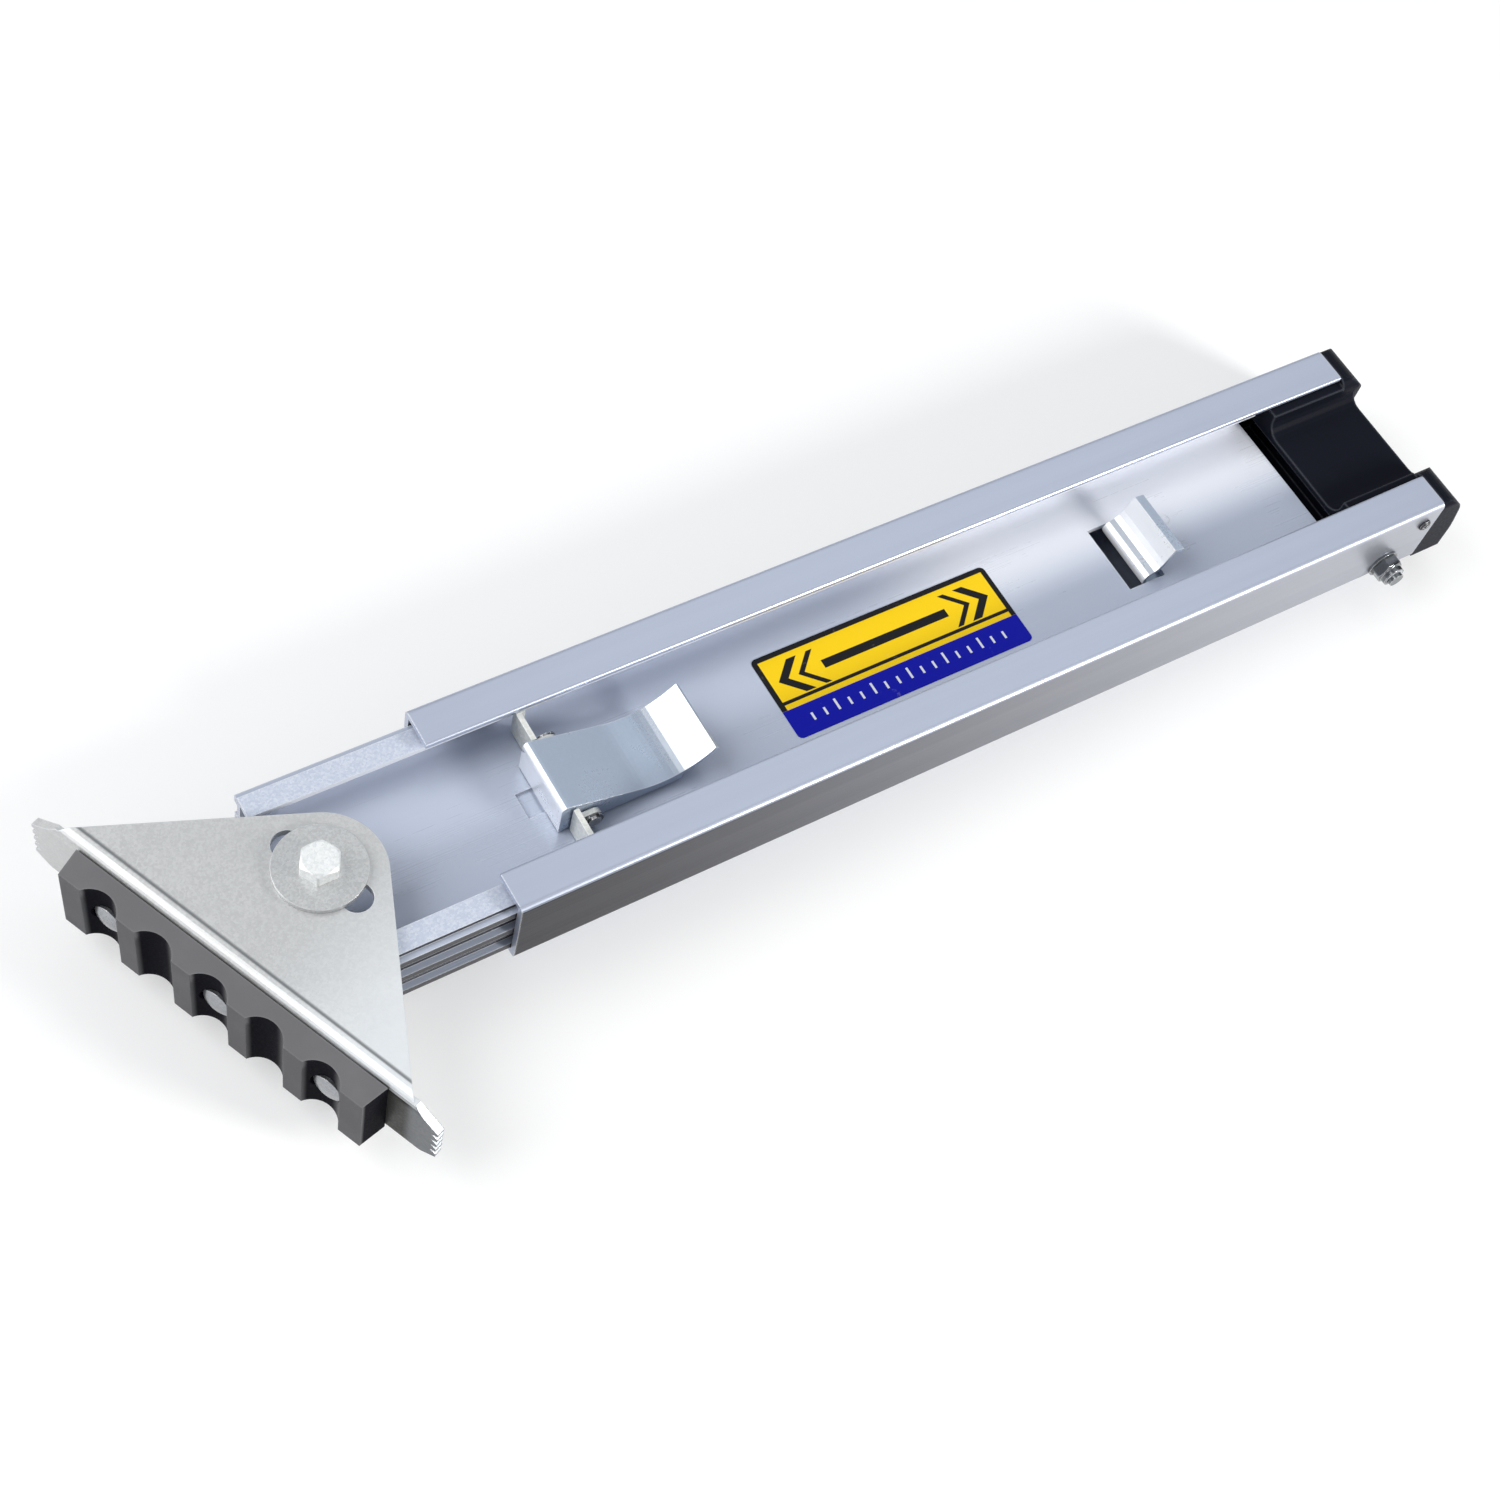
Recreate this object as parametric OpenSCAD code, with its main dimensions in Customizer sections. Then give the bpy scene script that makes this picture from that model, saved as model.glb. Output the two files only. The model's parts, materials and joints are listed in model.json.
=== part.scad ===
// Ladder leveller: an outer channel that bolts to a ladder's side rail, a leg that
// slides out of its lower end, a swivelling foot, and a spring lever that holds the leg.
// Modelled lying on its back: +X runs from the foot to the capped end, +Z out of the
// open side. The origin is the middle of the rail bolt holes, on the back face.

/* [Outer channel] */
// Length of the outer channel
outer_len = 387; // [340:1:460]
// Width across the side walls
outer_w = 80; // [76:0.5:90]
// Height from the back face to the top of the lips
outer_h = 33; // [31:0.5:40]
// Wall thickness of the outer channel
outer_wall = 2.4; // [1.8:0.1:3.2]
// Width of each lip, from the outside of the side wall
lip_w = 15; // [13:0.5:17]
// Radius on the outer corners of the channel
outer_corner = 2; // [0.4:0.1:2.3]
// Distance from the foot-side end to the origin
origin_from_end = 190; // [170:1:220]

/* [Rail bolt holes] */
// Hole spacing along the channel
rail_hole_x = 260; // [180:1:270]
// Hole spacing across the channel
rail_hole_y = 40; // [24:1:48]
// Diameter of the rail bolt holes
rail_hole_d = 8.4; // [6.4:0.1:10.4]

/* [Leg] */
// Gap between the parked leg's inner end and the cap
end_gap = 4.3; // [3:0.1:12]
// How far the parked leg stands out of the outer channel
leg_out = 60; // [54:0.5:75]
// Wall thickness of the leg
leg_wall = 2.2; // [1.6:0.1:3]
// Width of each leg lip
leg_lip = 8; // [6:0.5:10]
// Height of the leg's middle web above its bottom edge
web_rise = 14.3; // [11:0.1:16]
// How far the side ribs stand out from the leg's side wall
rib_out = 2.2; // [1.2:0.1:3]
// Gap between the leg's ribs and the outer channel's side walls
side_gap = 0.4; // [0.3:0.05:0.8]
// Gap between the leg's bottom edge and the outer channel's floor
floor_gap = 0.3; // [0.3:0.05:0.8]
// Gap between the leg's lips and the outer channel's lips
lip_gap = 1.7; // [1.7:0.05:2.4]

/* [Foot] */
// Swivel of the foot from straight, as it is parked
foot_angle = 23.9; // [-40:0.1:40]
// Distance from the leg's end to the foot pivot
pivot_in = 11.4; // [10:0.1:14]
// Distance from the pivot to the outer face of the foot's base flange
base_reach = 41.2; // [40:0.1:50]
// Thickness of the foot plate
foot_t = 3; // [2.4:0.1:3.6]
// Radius of the rounded apex round the pivot
apex_r = 20.6; // [17:0.1:24]
// Outer bend radius between base flange and plates
bend_r = 4.5; // [3.8:0.1:6]
// Gap between a foot plate and the leg
plate_gap = 0.2; // [0.1:0.05:0.4]
// Length of each toothed end tab
tab_len = 9.3; // [7:0.1:14]
// Teeth on each end tab
tab_teeth = 5; // [3:1:7]
// Depth of the tab teeth
tooth_depth = 2.4; // [1.5:0.1:3]
// How much each tab edge draws in from base to tip
tab_taper = 5; // [2:0.5:8]
// Half length of the pivot slot, between the centres of its round ends
slot_half = 13.8; // [8:0.1:16]
// Width of the pivot slot
slot_w = 10.4; // [10:0.1:11]
// How far the parked foot stands along its slot, towards the near side
foot_set = 0.9; // [-2:0.1:2]

/* [Rubber pad] */
// Length of the pad along the base flange
pad_len = 121.2; // [100:0.2:134]
// Thickness of the pad
pad_t = 9.6; // [8:0.1:12]
// Height of the pad
pad_h = 30; // [26:0.5:31]
// Number of flutes across the pad
flutes = 5; // [3:2:5]
// Spacing of the flutes
flute_pitch = 21.6; // [17:0.1:24]
// Width of a flute at the pad's face
flute_w = 14.4; // [10:0.1:15.5]
// Depth of a flute
flute_depth = 4.3; // [3:0.1:5.5]
// How much each pad end draws in towards its face
pad_draft = 1.8; // [0:0.1:3]

/* [Foot pivot hardware] */
// Diameter of the pivot bolt
pivot_d = 8; // [6:0.1:9]
// Width across flats of the pivot bolt head and nut
pivot_af = 12; // [11:0.1:15]
// Outer diameter of the large washers
washer_d = 30; // [26:0.5:34]
// Thickness of the large washers
washer_t = 1.8; // [1.2:0.1:2.5]
// Outer diameter of the spacer tube through the leg
spacer_d = 14; // [12:0.1:16]

/* [Release lever] */
// Distance from the outer channel's end to the lever's front face
lever_front = 28.4; // [24:0.1:40]
// Width of the lever
lever_w = 27; // [22:0.5:32]
// Thickness of the lever plate
lever_t = 1.6; // [1.2:0.1:2.2]
// Height of the lever's front edge below the top of the outer lips
lever_drop = 1.2; // [0.8:0.1:3]
// Downward slope of the lever's back, in degrees
lever_slope = 17.7; // [14:0.1:19]
// Length of the sloping back, along the channel
lever_back = 30; // [27:0.5:31]
// Inner radius of the upturned thumb end
lever_curl_r = 25.8; // [23:0.1:29]
// Angle of the upturned thumb end, in degrees
lever_curl = 48.5; // [40:0.5:52]
// Distance from the lever's front face to its pin
pin_back = 10.6; // [9:0.1:13]
// Height of the lever pin above the leg's web
pin_rise = 5.5; // [5:0.1:6]
// Diameter of the lever pin
pin_d = 5; // [4:0.1:5.2]
// Length of the lever's side skirts, from its front face
skirt_len = 46; // [36:1:48]
// Height of the skirts above the leg's web, below the pin
skirt_gap = 0.9; // [0.7:0.1:1.4]
// Gap between the lever's lower front edge and the leg's web
lock_gap = 0.5; // [0.4:0.05:0.8]

/* [Stop clip] */
// Distance from the leg's inner end to the clip's bend
clip_back = 75.5; // [60:0.5:100]
// Width of the clip
clip_w = 26; // [20:0.5:30]
// Thickness of the clip's spring steel
clip_t = 1.4; // [0.8:0.1:1.6]
// Height of the clip's crest above the leg's web
clip_rise = 13.4; // [10:0.1:14]
// Length of the window that the clip stands in
window_len = 16; // [14:0.5:20]

/* [Label] */
// Length of the blank label
label_len = 98; // [60:1:125]
// Width of the blank label
label_w = 34; // [20:1:44]
// Distance from the outer channel's end to the parked label
label_at = 119; // [100:1:125]

/* [End cap] */
// Length of the cap inside the outer channel
cap_in = 34.7; // [30:0.1:36]
// How far the cap's rounded ends stand out of the channel
cap_out = 17; // [10:0.5:22]
// How far the middle of the cap stands back from the rounded ends
cap_step = 5; // [2:0.5:8]
// Depth of the cap's middle below the top of the lips
cap_drop = 11; // [9:0.5:13]
// Gap between the cap and the channel round it
cap_gap = 0.2; // [0.1:0.05:0.5]

/* [Anchor bolt] */
// Distance from the capped end to the anchor bolt
anchor_in = 18.4; // [16:0.1:22]
// Height of the anchor bolt above the back face
anchor_z = 7; // [6.4:0.1:9]
// Diameter of the anchor bolt
anchor_d = 6; // [5:0.1:8]
// Width across flats of the anchor bolt head and nut
anchor_af = 10; // [8:0.1:12]

/* [Hidden] */
$fn = 64;
eps = 0.01;

// Places along the channel
low_x = -origin_from_end;
high_x = low_x + outer_len;
leg_x = low_x - leg_out;
leg_len = outer_len + leg_out - cap_in - end_gap;
pivot_x = leg_x + pivot_in;

// Heights of the nested sections
lip_under = outer_h - outer_wall;
leg_z = outer_wall + floor_gap;
leg_top = lip_under - lip_gap;
web_top = leg_z + web_rise;
web_under = web_top - leg_wall;

// Half widths of the nested sections
outer_in = outer_w / 2 - outer_wall;
lip_edge = outer_w / 2 - lip_w;
rib_face = outer_in - side_gap;
leg_face = rib_face - rib_out;
leg_in = leg_face - leg_wall;
leg_edge = leg_face - leg_lip;

// Foot plates
plate_top = leg_top + plate_gap;
plate_low = leg_z - plate_gap;
foot_top = plate_top + foot_t;
foot_low = plate_low - foot_t;
foot_mid = (foot_top + foot_low) / 2;
base_half = base_reach + apex_r * sqrt(2);
washer_gap = 0.1;
head_h = 5.5;
nut_h = 6.5;

// Pad rivets
rivet_d = 6;
rivet_head_d = 11;
rivet_head_h = 2.8;
backing_t = 1;
clinch_h = 1.2;
seat_x = -base_reach - pad_t + flute_depth + 0.3;

// Lever
lever_x = low_x + lever_front;
lever_top = outer_h - lever_drop;
pin_x = lever_x + pin_back;
pin_z = web_top + pin_rise;
pin_fit = 0.05;
flange_low = web_top + lock_gap;
hanger_t = 1.9;
hanger_len = 15;
hanger_gap = 0.4;
hanger_edge = leg_edge - hanger_gap;
hanger_x = pin_x - 6.8;
hanger_flange = 1.3;
ear_gap = 0.6;
ear_in = lever_w / 2 + ear_gap;
ear_out = ear_in + hanger_t;
ear_r = pin_d / 2 + 1.1;
wire_r = 0.5;
spring_r = pin_d / 2 + wire_r + 0.3;

// Stop clip
clip_x = leg_x + leg_len - clip_back;
clip_bend_r = 2;
clip_rivet_d = 4;
rivet_edge = 3.6;

// Flat band round a bend: the points of an arc from angle a0 to a1 about c
function arc(c, r, a0, a1, n = 8) =
    [for (i = [0:n]) c + r * [cos(a0 + (a1 - a0) * i / n), sin(a0 + (a1 - a0) * i / n)]];

function unit(v) = v / norm(v);

// The outline p with each corner i rounded to radius r[i], in n steps
function rounded(p, r, n = 5) = [for (i = [0:len(p) - 1])
    let (b = p[i], u = unit(p[(i + len(p) - 1) % len(p)] - b), v = unit(p[(i + 1) % len(p)] - b),
        half = acos(u * v) / 2, turn = u[0] * v[1] - u[1] * v[0] > 0 ? -1 : 1,
        c = b + unit(u + v) * r[i] / sin(half), s = b + u * r[i] / tan(half) - c,
        a0 = atan2(s[1], s[0]))
    each r[i] == 0 ? [b] : [for (k = [0:n]) let (a = a0 + turn * (180 - 2 * half) * k / n)
        c + r[i] * [cos(a), sin(a)]]];

// Unit normal of a path at point i, on its left, lengthened at a corner so that a strip keeps its width
function path_normal(p, i) = let (m = len(p) - 1,
    d0 = unit(p[max(i, 1)] - p[max(i, 1) - 1]), d1 = unit(p[min(i + 1, m)] - p[min(i + 1, m) - 1]),
    d = unit(d0 + d1)) [-d[1], d[0]] / (d * d1);

// Strip of thickness t on the right of a path, or on its left where t is below zero
function strip(p, t) = concat(p, [for (i = [len(p) - 1:-1:0]) p[i] - t * path_normal(p, i)]);

// Section in Y and Z, drawn along X from x for len_x
module along_x(x, len_x) { translate([x, 0, 0]) rotate([90, 0, 90]) linear_extrude(len_x) children(); }

// Section in X and Z, drawn along Y over width w, centred
module across(w) { rotate([90, 0, 0]) linear_extrude(w, center = true) children(); }

// Cylinder along Y from y0 to y1
module rod_y(r, y0, y1) { translate([0, y1, 0]) rotate([90, 0, 0]) cylinder(r = r, h = y1 - y0); }

// Cylinder along X from x0 to x1
module rod_x(r, x0, x1) { translate([x0, 0, 0]) rotate([0, 90, 0]) cylinder(r = r, h = x1 - x0); }

// Block from corner a to corner b
module block(a, b) { translate(a) cube(b - a); }

// Hexagon prism of width af across flats and height h, with its top edge turned down
module hex_head(af, h) {
    intersection() {
        cylinder(d = af / cos(30), h = h, $fn = 6);
        union() {
            cylinder(d = af * 1.12, h = h - af * 0.06);
            translate([0, 0, h - af * 0.06]) cylinder(d1 = af * 1.12, d2 = af * 0.94, h = af * 0.06);
        }
    }
}

// Same shape on both sides of the middle plane
module both_sides() { children(); mirror([0, 1, 0]) children(); }

// Outer channel: back, two side walls and two lips that turn in over the leg
module outer_section() {
    lip_r = outer_wall / 2 - 0.1;
    radii = [outer_corner, outer_corner, lip_r, lip_r, 0.6, 0.6];
    half = [[outer_w / 2, 0], [outer_w / 2, outer_h], [lip_edge, outer_h],
        [lip_edge, lip_under], [outer_in, lip_under], [outer_in, outer_wall]];
    polygon(rounded(concat(half, [for (i = [5:-1:0]) [-half[i][0], half[i][1]]]),
        concat(radii, [for (i = [5:-1:0]) radii[i]])));
}

module outer_channel() {
    color([0.72, 0.75, 0.80]) difference() {
        along_x(low_x, outer_len) outer_section();
        for (x = [-1, 1], y = [-1, 1])
            translate([x * rail_hole_x / 2, y * rail_hole_y / 2, -1])
                cylinder(d = rail_hole_d, h = outer_wall + 2);
        anchor_at() rod_y(anchor_d / 2 + 0.2, -outer_w, outer_w);
        screw_at() rod_y(screw_d / 2 + 0.05, outer_in - 1, outer_w);
        rivet_at() rivet_hole();
    }
}

// End cap: a trough-shaped block inside the channel, and outside it two rounded ends with
// a low middle between them that stands a little back
cap_mid = outer_h - cap_drop;
cap_lobe = lip_edge - 3.5;
cap_low = outer_wall + cap_gap;
cap_fillet = 5.6;
cap_crown = 5;

// Section of the cap: half width w, bottom at low, rounded ends up to top, their outer edges
// rounded by r and their inner ones by crown
function cap_section(w, low, top, r, crown) = rounded(
    [[-w, low], [w, low], [w, top], [cap_lobe, top], [cap_lobe, cap_mid], [-cap_lobe, cap_mid],
    [-cap_lobe, top], [-w, top]], [r / 2, r / 2, r, crown, cap_fillet, cap_fillet, crown, r]);

// Side outline of what stands out of the channel, leaning out from its top edge to its foot
function nose(out, top) = rounded(
    [[0, cap_low], [0, top], [out * 0.576, top], [out, 0], [0.3, 0], [0.3, cap_low]],
    [0, 0, out * 0.69, 2, 0, 0], 9);

module cap_outline() {
    along_x(high_x - cap_in, cap_in + eps)
        polygon(cap_section(outer_in - cap_gap, cap_low, lip_under - cap_gap, 0.6, 0.2));
    intersection() {
        along_x(high_x, cap_out) polygon(cap_section(outer_w / 2, -1, outer_h, 3, cap_crown));
        translate([high_x, 0, 0]) union() {
            across(2 * cap_lobe + 2 * eps) polygon(nose(cap_out - cap_step, outer_h));
            both_sides() translate([0, (cap_lobe + outer_w / 2) / 2, 0])
                across(outer_w / 2 - cap_lobe) polygon(nose(cap_out, outer_h));
        }
        translate([0, 0, -1]) linear_extrude(outer_h + 2) polygon(rounded(
            [[high_x - 1, -outer_w / 2], [high_x + cap_out, -outer_w / 2],
            [high_x + cap_out, -cap_lobe + eps],
            [high_x + cap_out - 10, -cap_lobe + eps], [high_x + cap_out - 10, cap_lobe - eps],
            [high_x + cap_out, cap_lobe - eps], [high_x + cap_out, outer_w / 2], [high_x - 1, outer_w / 2]],
            [0, 3.5, 9, 0, 0, 9, 3.5, 0]));
    }
}

module end_cap() {
    wall = 2.6;
    color([0.10, 0.10, 0.12]) difference() {
        cap_outline();
        difference() {
            block([high_x - cap_in - 1, -outer_in + cap_gap + wall, cap_low + wall],
                [high_x - wall, outer_in - cap_gap - wall, cap_mid - wall]);
            anchor_at() rod_y(anchor_d / 2 + 4.6, -outer_w, outer_w);
        }
        anchor_at() rod_y(anchor_d / 2 + 0.1, -outer_w, outer_w);
        screw_at() rod_y(screw_d / 2 - 0.02, outer_w / 2 - screw_len - 0.3, outer_w);
    }
}

// Two screws through the side walls into the cap
screw_d = 2.9;
screw_len = 9;
screw_head_d = 5;
screw_head_h = 1.6;
screw_back = 7;
screw_down = 8;
module screw_at() { both_sides() translate([high_x - screw_back, 0, outer_h - screw_down]) children(); }

module cap_screws() {
    color([0.30, 0.30, 0.32]) screw_at() {
        rod_y(screw_d / 2 - 0.05, outer_w / 2 - screw_len, outer_w / 2 + 0.2);
        difference() {
            translate([0, outer_w / 2, 0]) rotate([-90, 0, 0]) {
                cylinder(d = screw_head_d, h = screw_head_h * 0.6);
                translate([0, 0, screw_head_h * 0.6])
                    cylinder(d1 = screw_head_d, d2 = screw_head_d * 0.7, h = screw_head_h * 0.4);
            }
            for (a = [0, 90]) translate([0, outer_w / 2 + screw_head_h, 0]) rotate([0, a, 0])
                cube([screw_head_d * 0.55, screw_head_h * 1.2, screw_head_d * 0.13], center = true);
        }
    }
}

// Anchor bolt across the capped end, head on the far side and nut on the near side
anchor_washer_t = 1.2;
anchor_washer_d = 12.6;
anchor_nut_h = 6.4;
anchor_tip = 1.8;
module anchor_at() { translate([high_x - anchor_in, 0, anchor_z]) children(); }
anchor_seat = outer_w / 2 + anchor_washer_t;

module anchor_bolt() {
    color([0.70, 0.71, 0.72]) anchor_at() {
        rod_y(anchor_d / 2, -anchor_seat - anchor_nut_h - anchor_tip, anchor_seat + eps);
        translate([0, anchor_seat, 0]) rotate([-90, 0, 0]) hex_head(anchor_af, anchor_d * 0.67);
    }
}

module anchor_washers() {
    color([0.74, 0.75, 0.76]) anchor_at() both_sides() difference() {
        rod_y(anchor_washer_d / 2, outer_w / 2, anchor_seat);
        rod_y(anchor_d / 2 + 0.2, 0, outer_w);
    }
}

module anchor_nut() {
    color([0.66, 0.67, 0.68]) anchor_at() difference() {
        union() {
            translate([0, -anchor_seat, 0]) rotate([90, 0, 0]) hex_head(anchor_af, anchor_nut_h - 2);
            rod_y(anchor_af * 0.44, -anchor_seat - anchor_nut_h, -anchor_seat - anchor_nut_h + 3);
        }
        rod_y(anchor_d / 2 + 0.02, -outer_w, 0);
    }
}

// Hangers: each has a flange under an outer lip, a wing that crosses the leg to the lever, and
// an ear beside the lever with the pin hole
module hanger() {
    fold = [hanger_edge - hanger_t, hanger_edge];
    difference() {
        union() {
            block([hanger_x, fold[0] + 1, lip_under - hanger_flange],
                [hanger_x + hanger_len, outer_in - 1, lip_under]);
            block([hanger_x, fold[0], lip_under - 4], [hanger_x + hanger_t + 1.4, fold[1], lip_under - eps]);
            block([hanger_x, ear_in, web_top + 0.6], [hanger_x + hanger_t, fold[1], lip_under - 0.4]);
            block([hanger_x, ear_in, pin_z - ear_r], [pin_x, ear_out, pin_z + ear_r]);
            pin_at() rod_y(ear_r, ear_in, ear_out);
        }
        pin_at() rod_y(pin_d / 2, 0, outer_w);
        rivet_at() rivet_hole();
    }
}
module pin_at() { translate([pin_x, 0, pin_z]) children(); }
module hanger_near() { color([0.80, 0.81, 0.78]) mirror([0, 1, 0]) hanger(); }
module hanger_far() { color([0.80, 0.81, 0.78]) hanger(); }

// Four blind rivets hold the hangers under the outer lips, and end inside the lips
hanger_rivet_d = 4;
rivet_deep = 1.7;
module rivet_at() { both_sides() for (x = [0.22, 0.78])
    translate([hanger_x + hanger_len * x, lip_edge + lip_w / 2, lip_under - hanger_flange]) children(); }
module rivet_hole() {
    translate([0, 0, -1]) cylinder(d = hanger_rivet_d + 0.1, h = hanger_flange + rivet_deep + 1);
}
module hanger_rivets() {
    color([0.72, 0.75, 0.80]) rivet_at() cylinder(d = hanger_rivet_d, h = hanger_flange + rivet_deep - 0.05);
}

// Lever pin with a snap ring outside each hanger ear
module lever_pin() {
    color([0.70, 0.70, 0.70]) pin_at() difference() {
        rod_y(pin_d / 2, -pin_half, pin_half);
        translate([-pin_d, -spring_half, 0]) rotate([0, 90, 0])
            cylinder(r = wire_r + 0.1, h = pin_d + wire_r + 0.2);
    }
}

clip_ring_t = 0.8;
pin_half = ear_out + 0.2 + clip_ring_t + 0.5;
module pin_clips() {
    gap = pin_d * 0.64;
    color([0.35, 0.35, 0.36]) pin_at() both_sides()
        translate([0, ear_out + 0.2 + clip_ring_t, 0]) difference() {
        rod_y(pin_d * 0.76, -clip_ring_t, 0);
        rod_y(pin_d / 2 + 0.03, -clip_ring_t - 1, 1);
        translate([-gap / 2, -clip_ring_t - 1, 0]) cube([gap, clip_ring_t + 2, pin_d * 2]);
    }
}

// Release lever: a front face, a sloping back and an upturned thumb end, with two pin cheeks
lever_low = lever_top - lever_t - lever_back * tan(lever_slope);
function lever_path() = concat(
    [[lever_x, flange_low]],
    arc([lever_x + 2, lever_top - 2], 2, 180, 90 - lever_slope, 4),
    arc(curl_centre(), lever_curl_r, -90 - lever_slope, -90 + lever_curl, 16));
function curl_centre() = [lever_x + lever_back,
    lever_top - 2 + 2 / cos(lever_slope) - (lever_back - 2) * tan(lever_slope)]
    + lever_curl_r * [sin(lever_slope), cos(lever_slope)];

// Height of the lever's top face at x on its sloping back
function lever_at(x) = lever_top - 2 + 2 / cos(lever_slope) - (x - lever_x - 2) * tan(lever_slope);

module release_lever() {
    cheek = lever_w / 2 - lever_t;
    end_x = lever_x + skirt_len;
    back_x = lever_x + lever_back;
    under = [for (i = [0:6]) let (a = -90 - lever_slope + i * 6, r = lever_curl_r + lever_t / 2)
        if (curl_centre()[0] + r * cos(a) < end_x - 1) curl_centre() + r * [cos(a), sin(a)]];
    last = under[len(under) - 1];
    color([0.66, 0.73, 0.82]) difference() {
        union() {
            across(lever_w) polygon(strip(lever_path(), lever_t));
            both_sides() translate([0, cheek + lever_t / 2, 0]) across(lever_t) polygon(concat(
                [[lever_x + eps, lever_top - 4], [lever_x + eps, flange_low], [lever_x + 3, flange_low + 0.4],
                [pin_x, web_top + skirt_gap], [end_x, web_top + 2 * skirt_gap], [end_x, last[1] + 0.5]],
                [for (i = [len(under) - 1:-1:0]) under[i]],
                [[lever_x + 3, lever_at(lever_x + 3) - lever_t / 2]]));
        }
        pin_at() rod_y(pin_d / 2 + pin_fit, -lever_w, lever_w);
        along_x(lever_x - 1, lever_t + 1.4) polygon([[lever_w / 2 - 2.2, lever_top - 2.4],
            [lever_w / 2 + 1, lever_top - 2.4], [lever_w / 2 + 1, lever_top - 5.6]]);
    }
}

// Torsion spring on the lever pin, between the skirts, as one wire: its inner end sits in a
// cross hole of the pin, and its long leg presses up on the lever's back
spring_turns = 5;
turn_steps = 12;
wire_pitch = 2 * wire_r + 0.5;
spring_half = spring_turns * wire_pitch / 2;
function spring_path() = concat([[0, -spring_half, 0], [-spring_r * 0.6, -spring_half, 0]],
    [for (i = [0:(spring_turns + 0.25) * turn_steps]) let (a = 180 - 360 * i / turn_steps)
        [spring_r * cos(a), -spring_half + wire_pitch * i / turn_steps, spring_r * sin(a)]],
    [let (x = 9) [x, spring_half + wire_pitch / 4,
        lever_at(pin_x + x) - (lever_t + wire_r + 0.1) / cos(lever_slope) - pin_z]]);

// Ring k of a wire of radius r along the path p
function ring_at(p, k, r, sides) = let (m = len(p) - 1,
    d = unit(p[min(k + 1, m)] - p[max(k - 1, 0)]),
    side = unit(cross(d, [0.05, 1, 0.02])), up = cross(side, d))
    [for (j = [0:sides - 1]) p[k] + r * (cos(360 * j / sides) * side + sin(360 * j / sides) * up)];

module wire(p, r, sides = 6) {
    n = len(p);
    points = [for (k = [0:n - 1]) each ring_at(p, k, r, sides)];
    skin = [for (k = [0:n - 2], j = [0:sides - 1]) let (a = k * sides + j, b = k * sides + (j + 1) % sides)
        each [[a, a + sides, b], [b, a + sides, b + sides]]];
    caps = [for (j = [1:sides - 2]) each [[0, j, j + 1], [(n - 1) * sides, (n - 1) * sides + j + 1, (n - 1) * sides + j]]];
    polyhedron(points, concat(skin, caps));
}

module lever_spring() { color([0.45, 0.46, 0.48]) pin_at() wire(spring_path(), wire_r); }

// Leg: two lipped side walls with slide ribs outside, joined by a web at mid height
rib_h = 3.2;
module leg_section() {
    both_mirror() {
        translate([leg_in, leg_z]) square([leg_wall, leg_top - leg_z]);
        translate([leg_edge, leg_top - leg_wall]) square([leg_lip, leg_wall]);
        for (z = [leg_top - 5, web_under - 1.4, leg_z]) translate([leg_face - eps, z])
            square([rib_out + eps, rib_h]);
        for (z = [leg_z + 5.6, web_top + 2.6]) translate([leg_face - eps, z]) square([0.5, 1.2]);
    }
    translate([-leg_in - eps, web_under]) square([2 * leg_in + 2 * eps, leg_wall]);
}
module both_mirror() { children(); mirror([1, 0]) children(); }

// Shallow pocket in the web in front of the parked lever
pocket = [6.5, 9.8, 1.2];
module leg_channel() {
    color([0.74, 0.78, 0.84]) difference() {
        along_x(leg_x, leg_len) leg_section();
        translate([pivot_x, 0, leg_z]) cylinder(d = spacer_d + 0.3, h = outer_h);
        block([lever_x - pocket[0] + 0.6, -pocket[1] / 2, web_top - pocket[2]], [lever_x + 0.6, pocket[1] / 2, web_top + 1]);
        block([clip_x + 6 - window_len, -clip_w / 2 - 1, web_under - 1], [clip_x + 6, clip_w / 2 + 1, web_top + 1]);
        clip_rivet_at() cylinder(d = clip_rivet_d + 2 * clip_play, h = 4 * leg_wall, center = true);
    }
}

// Blank adhesive label on the leg's web
label_t = 0.2;
module label_plate() {
    color([0.93, 0.75, 0.10]) translate([low_x + label_at, -label_w / 2, web_top]) linear_extrude(label_t)
        polygon(rounded([[0, 0], [label_len, 0], [label_len, label_w], [0, label_w]], [2, 2, 2, 2]));
}

// Stop clip: a flat arm under the web, a bend in the window and a ramp up to a short crest
clip_arm = 24;
clip_play = 0.08;
clip_low = web_under - 0.3 - clip_t;
crest = web_top + clip_rise;
function clip_path() = concat([[clip_x + clip_arm, clip_low], [clip_x, clip_low]],
    arc([clip_x, clip_low + clip_bend_r + clip_t], clip_bend_r + clip_t, 250, 115, 8),
    [[clip_x + 0.6, clip_low + 7.2], [clip_x + 2.4, clip_low + 8.6], [clip_x + 3.7, clip_low + 10.8],
    [clip_x + 4.8, clip_low + 13.8], [clip_x + 6.2, crest], [clip_x + 10.4, crest - 0.8],
    [clip_x + 11.2, crest - 2]]);

module stop_clip() {
    color([0.70, 0.76, 0.84]) difference() {
        across(clip_w) polygon(strip(clip_path(), clip_t));
        clip_rivet_at() cylinder(d = clip_rivet_d, h = 4 * leg_wall, center = true);
    }
}

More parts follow.
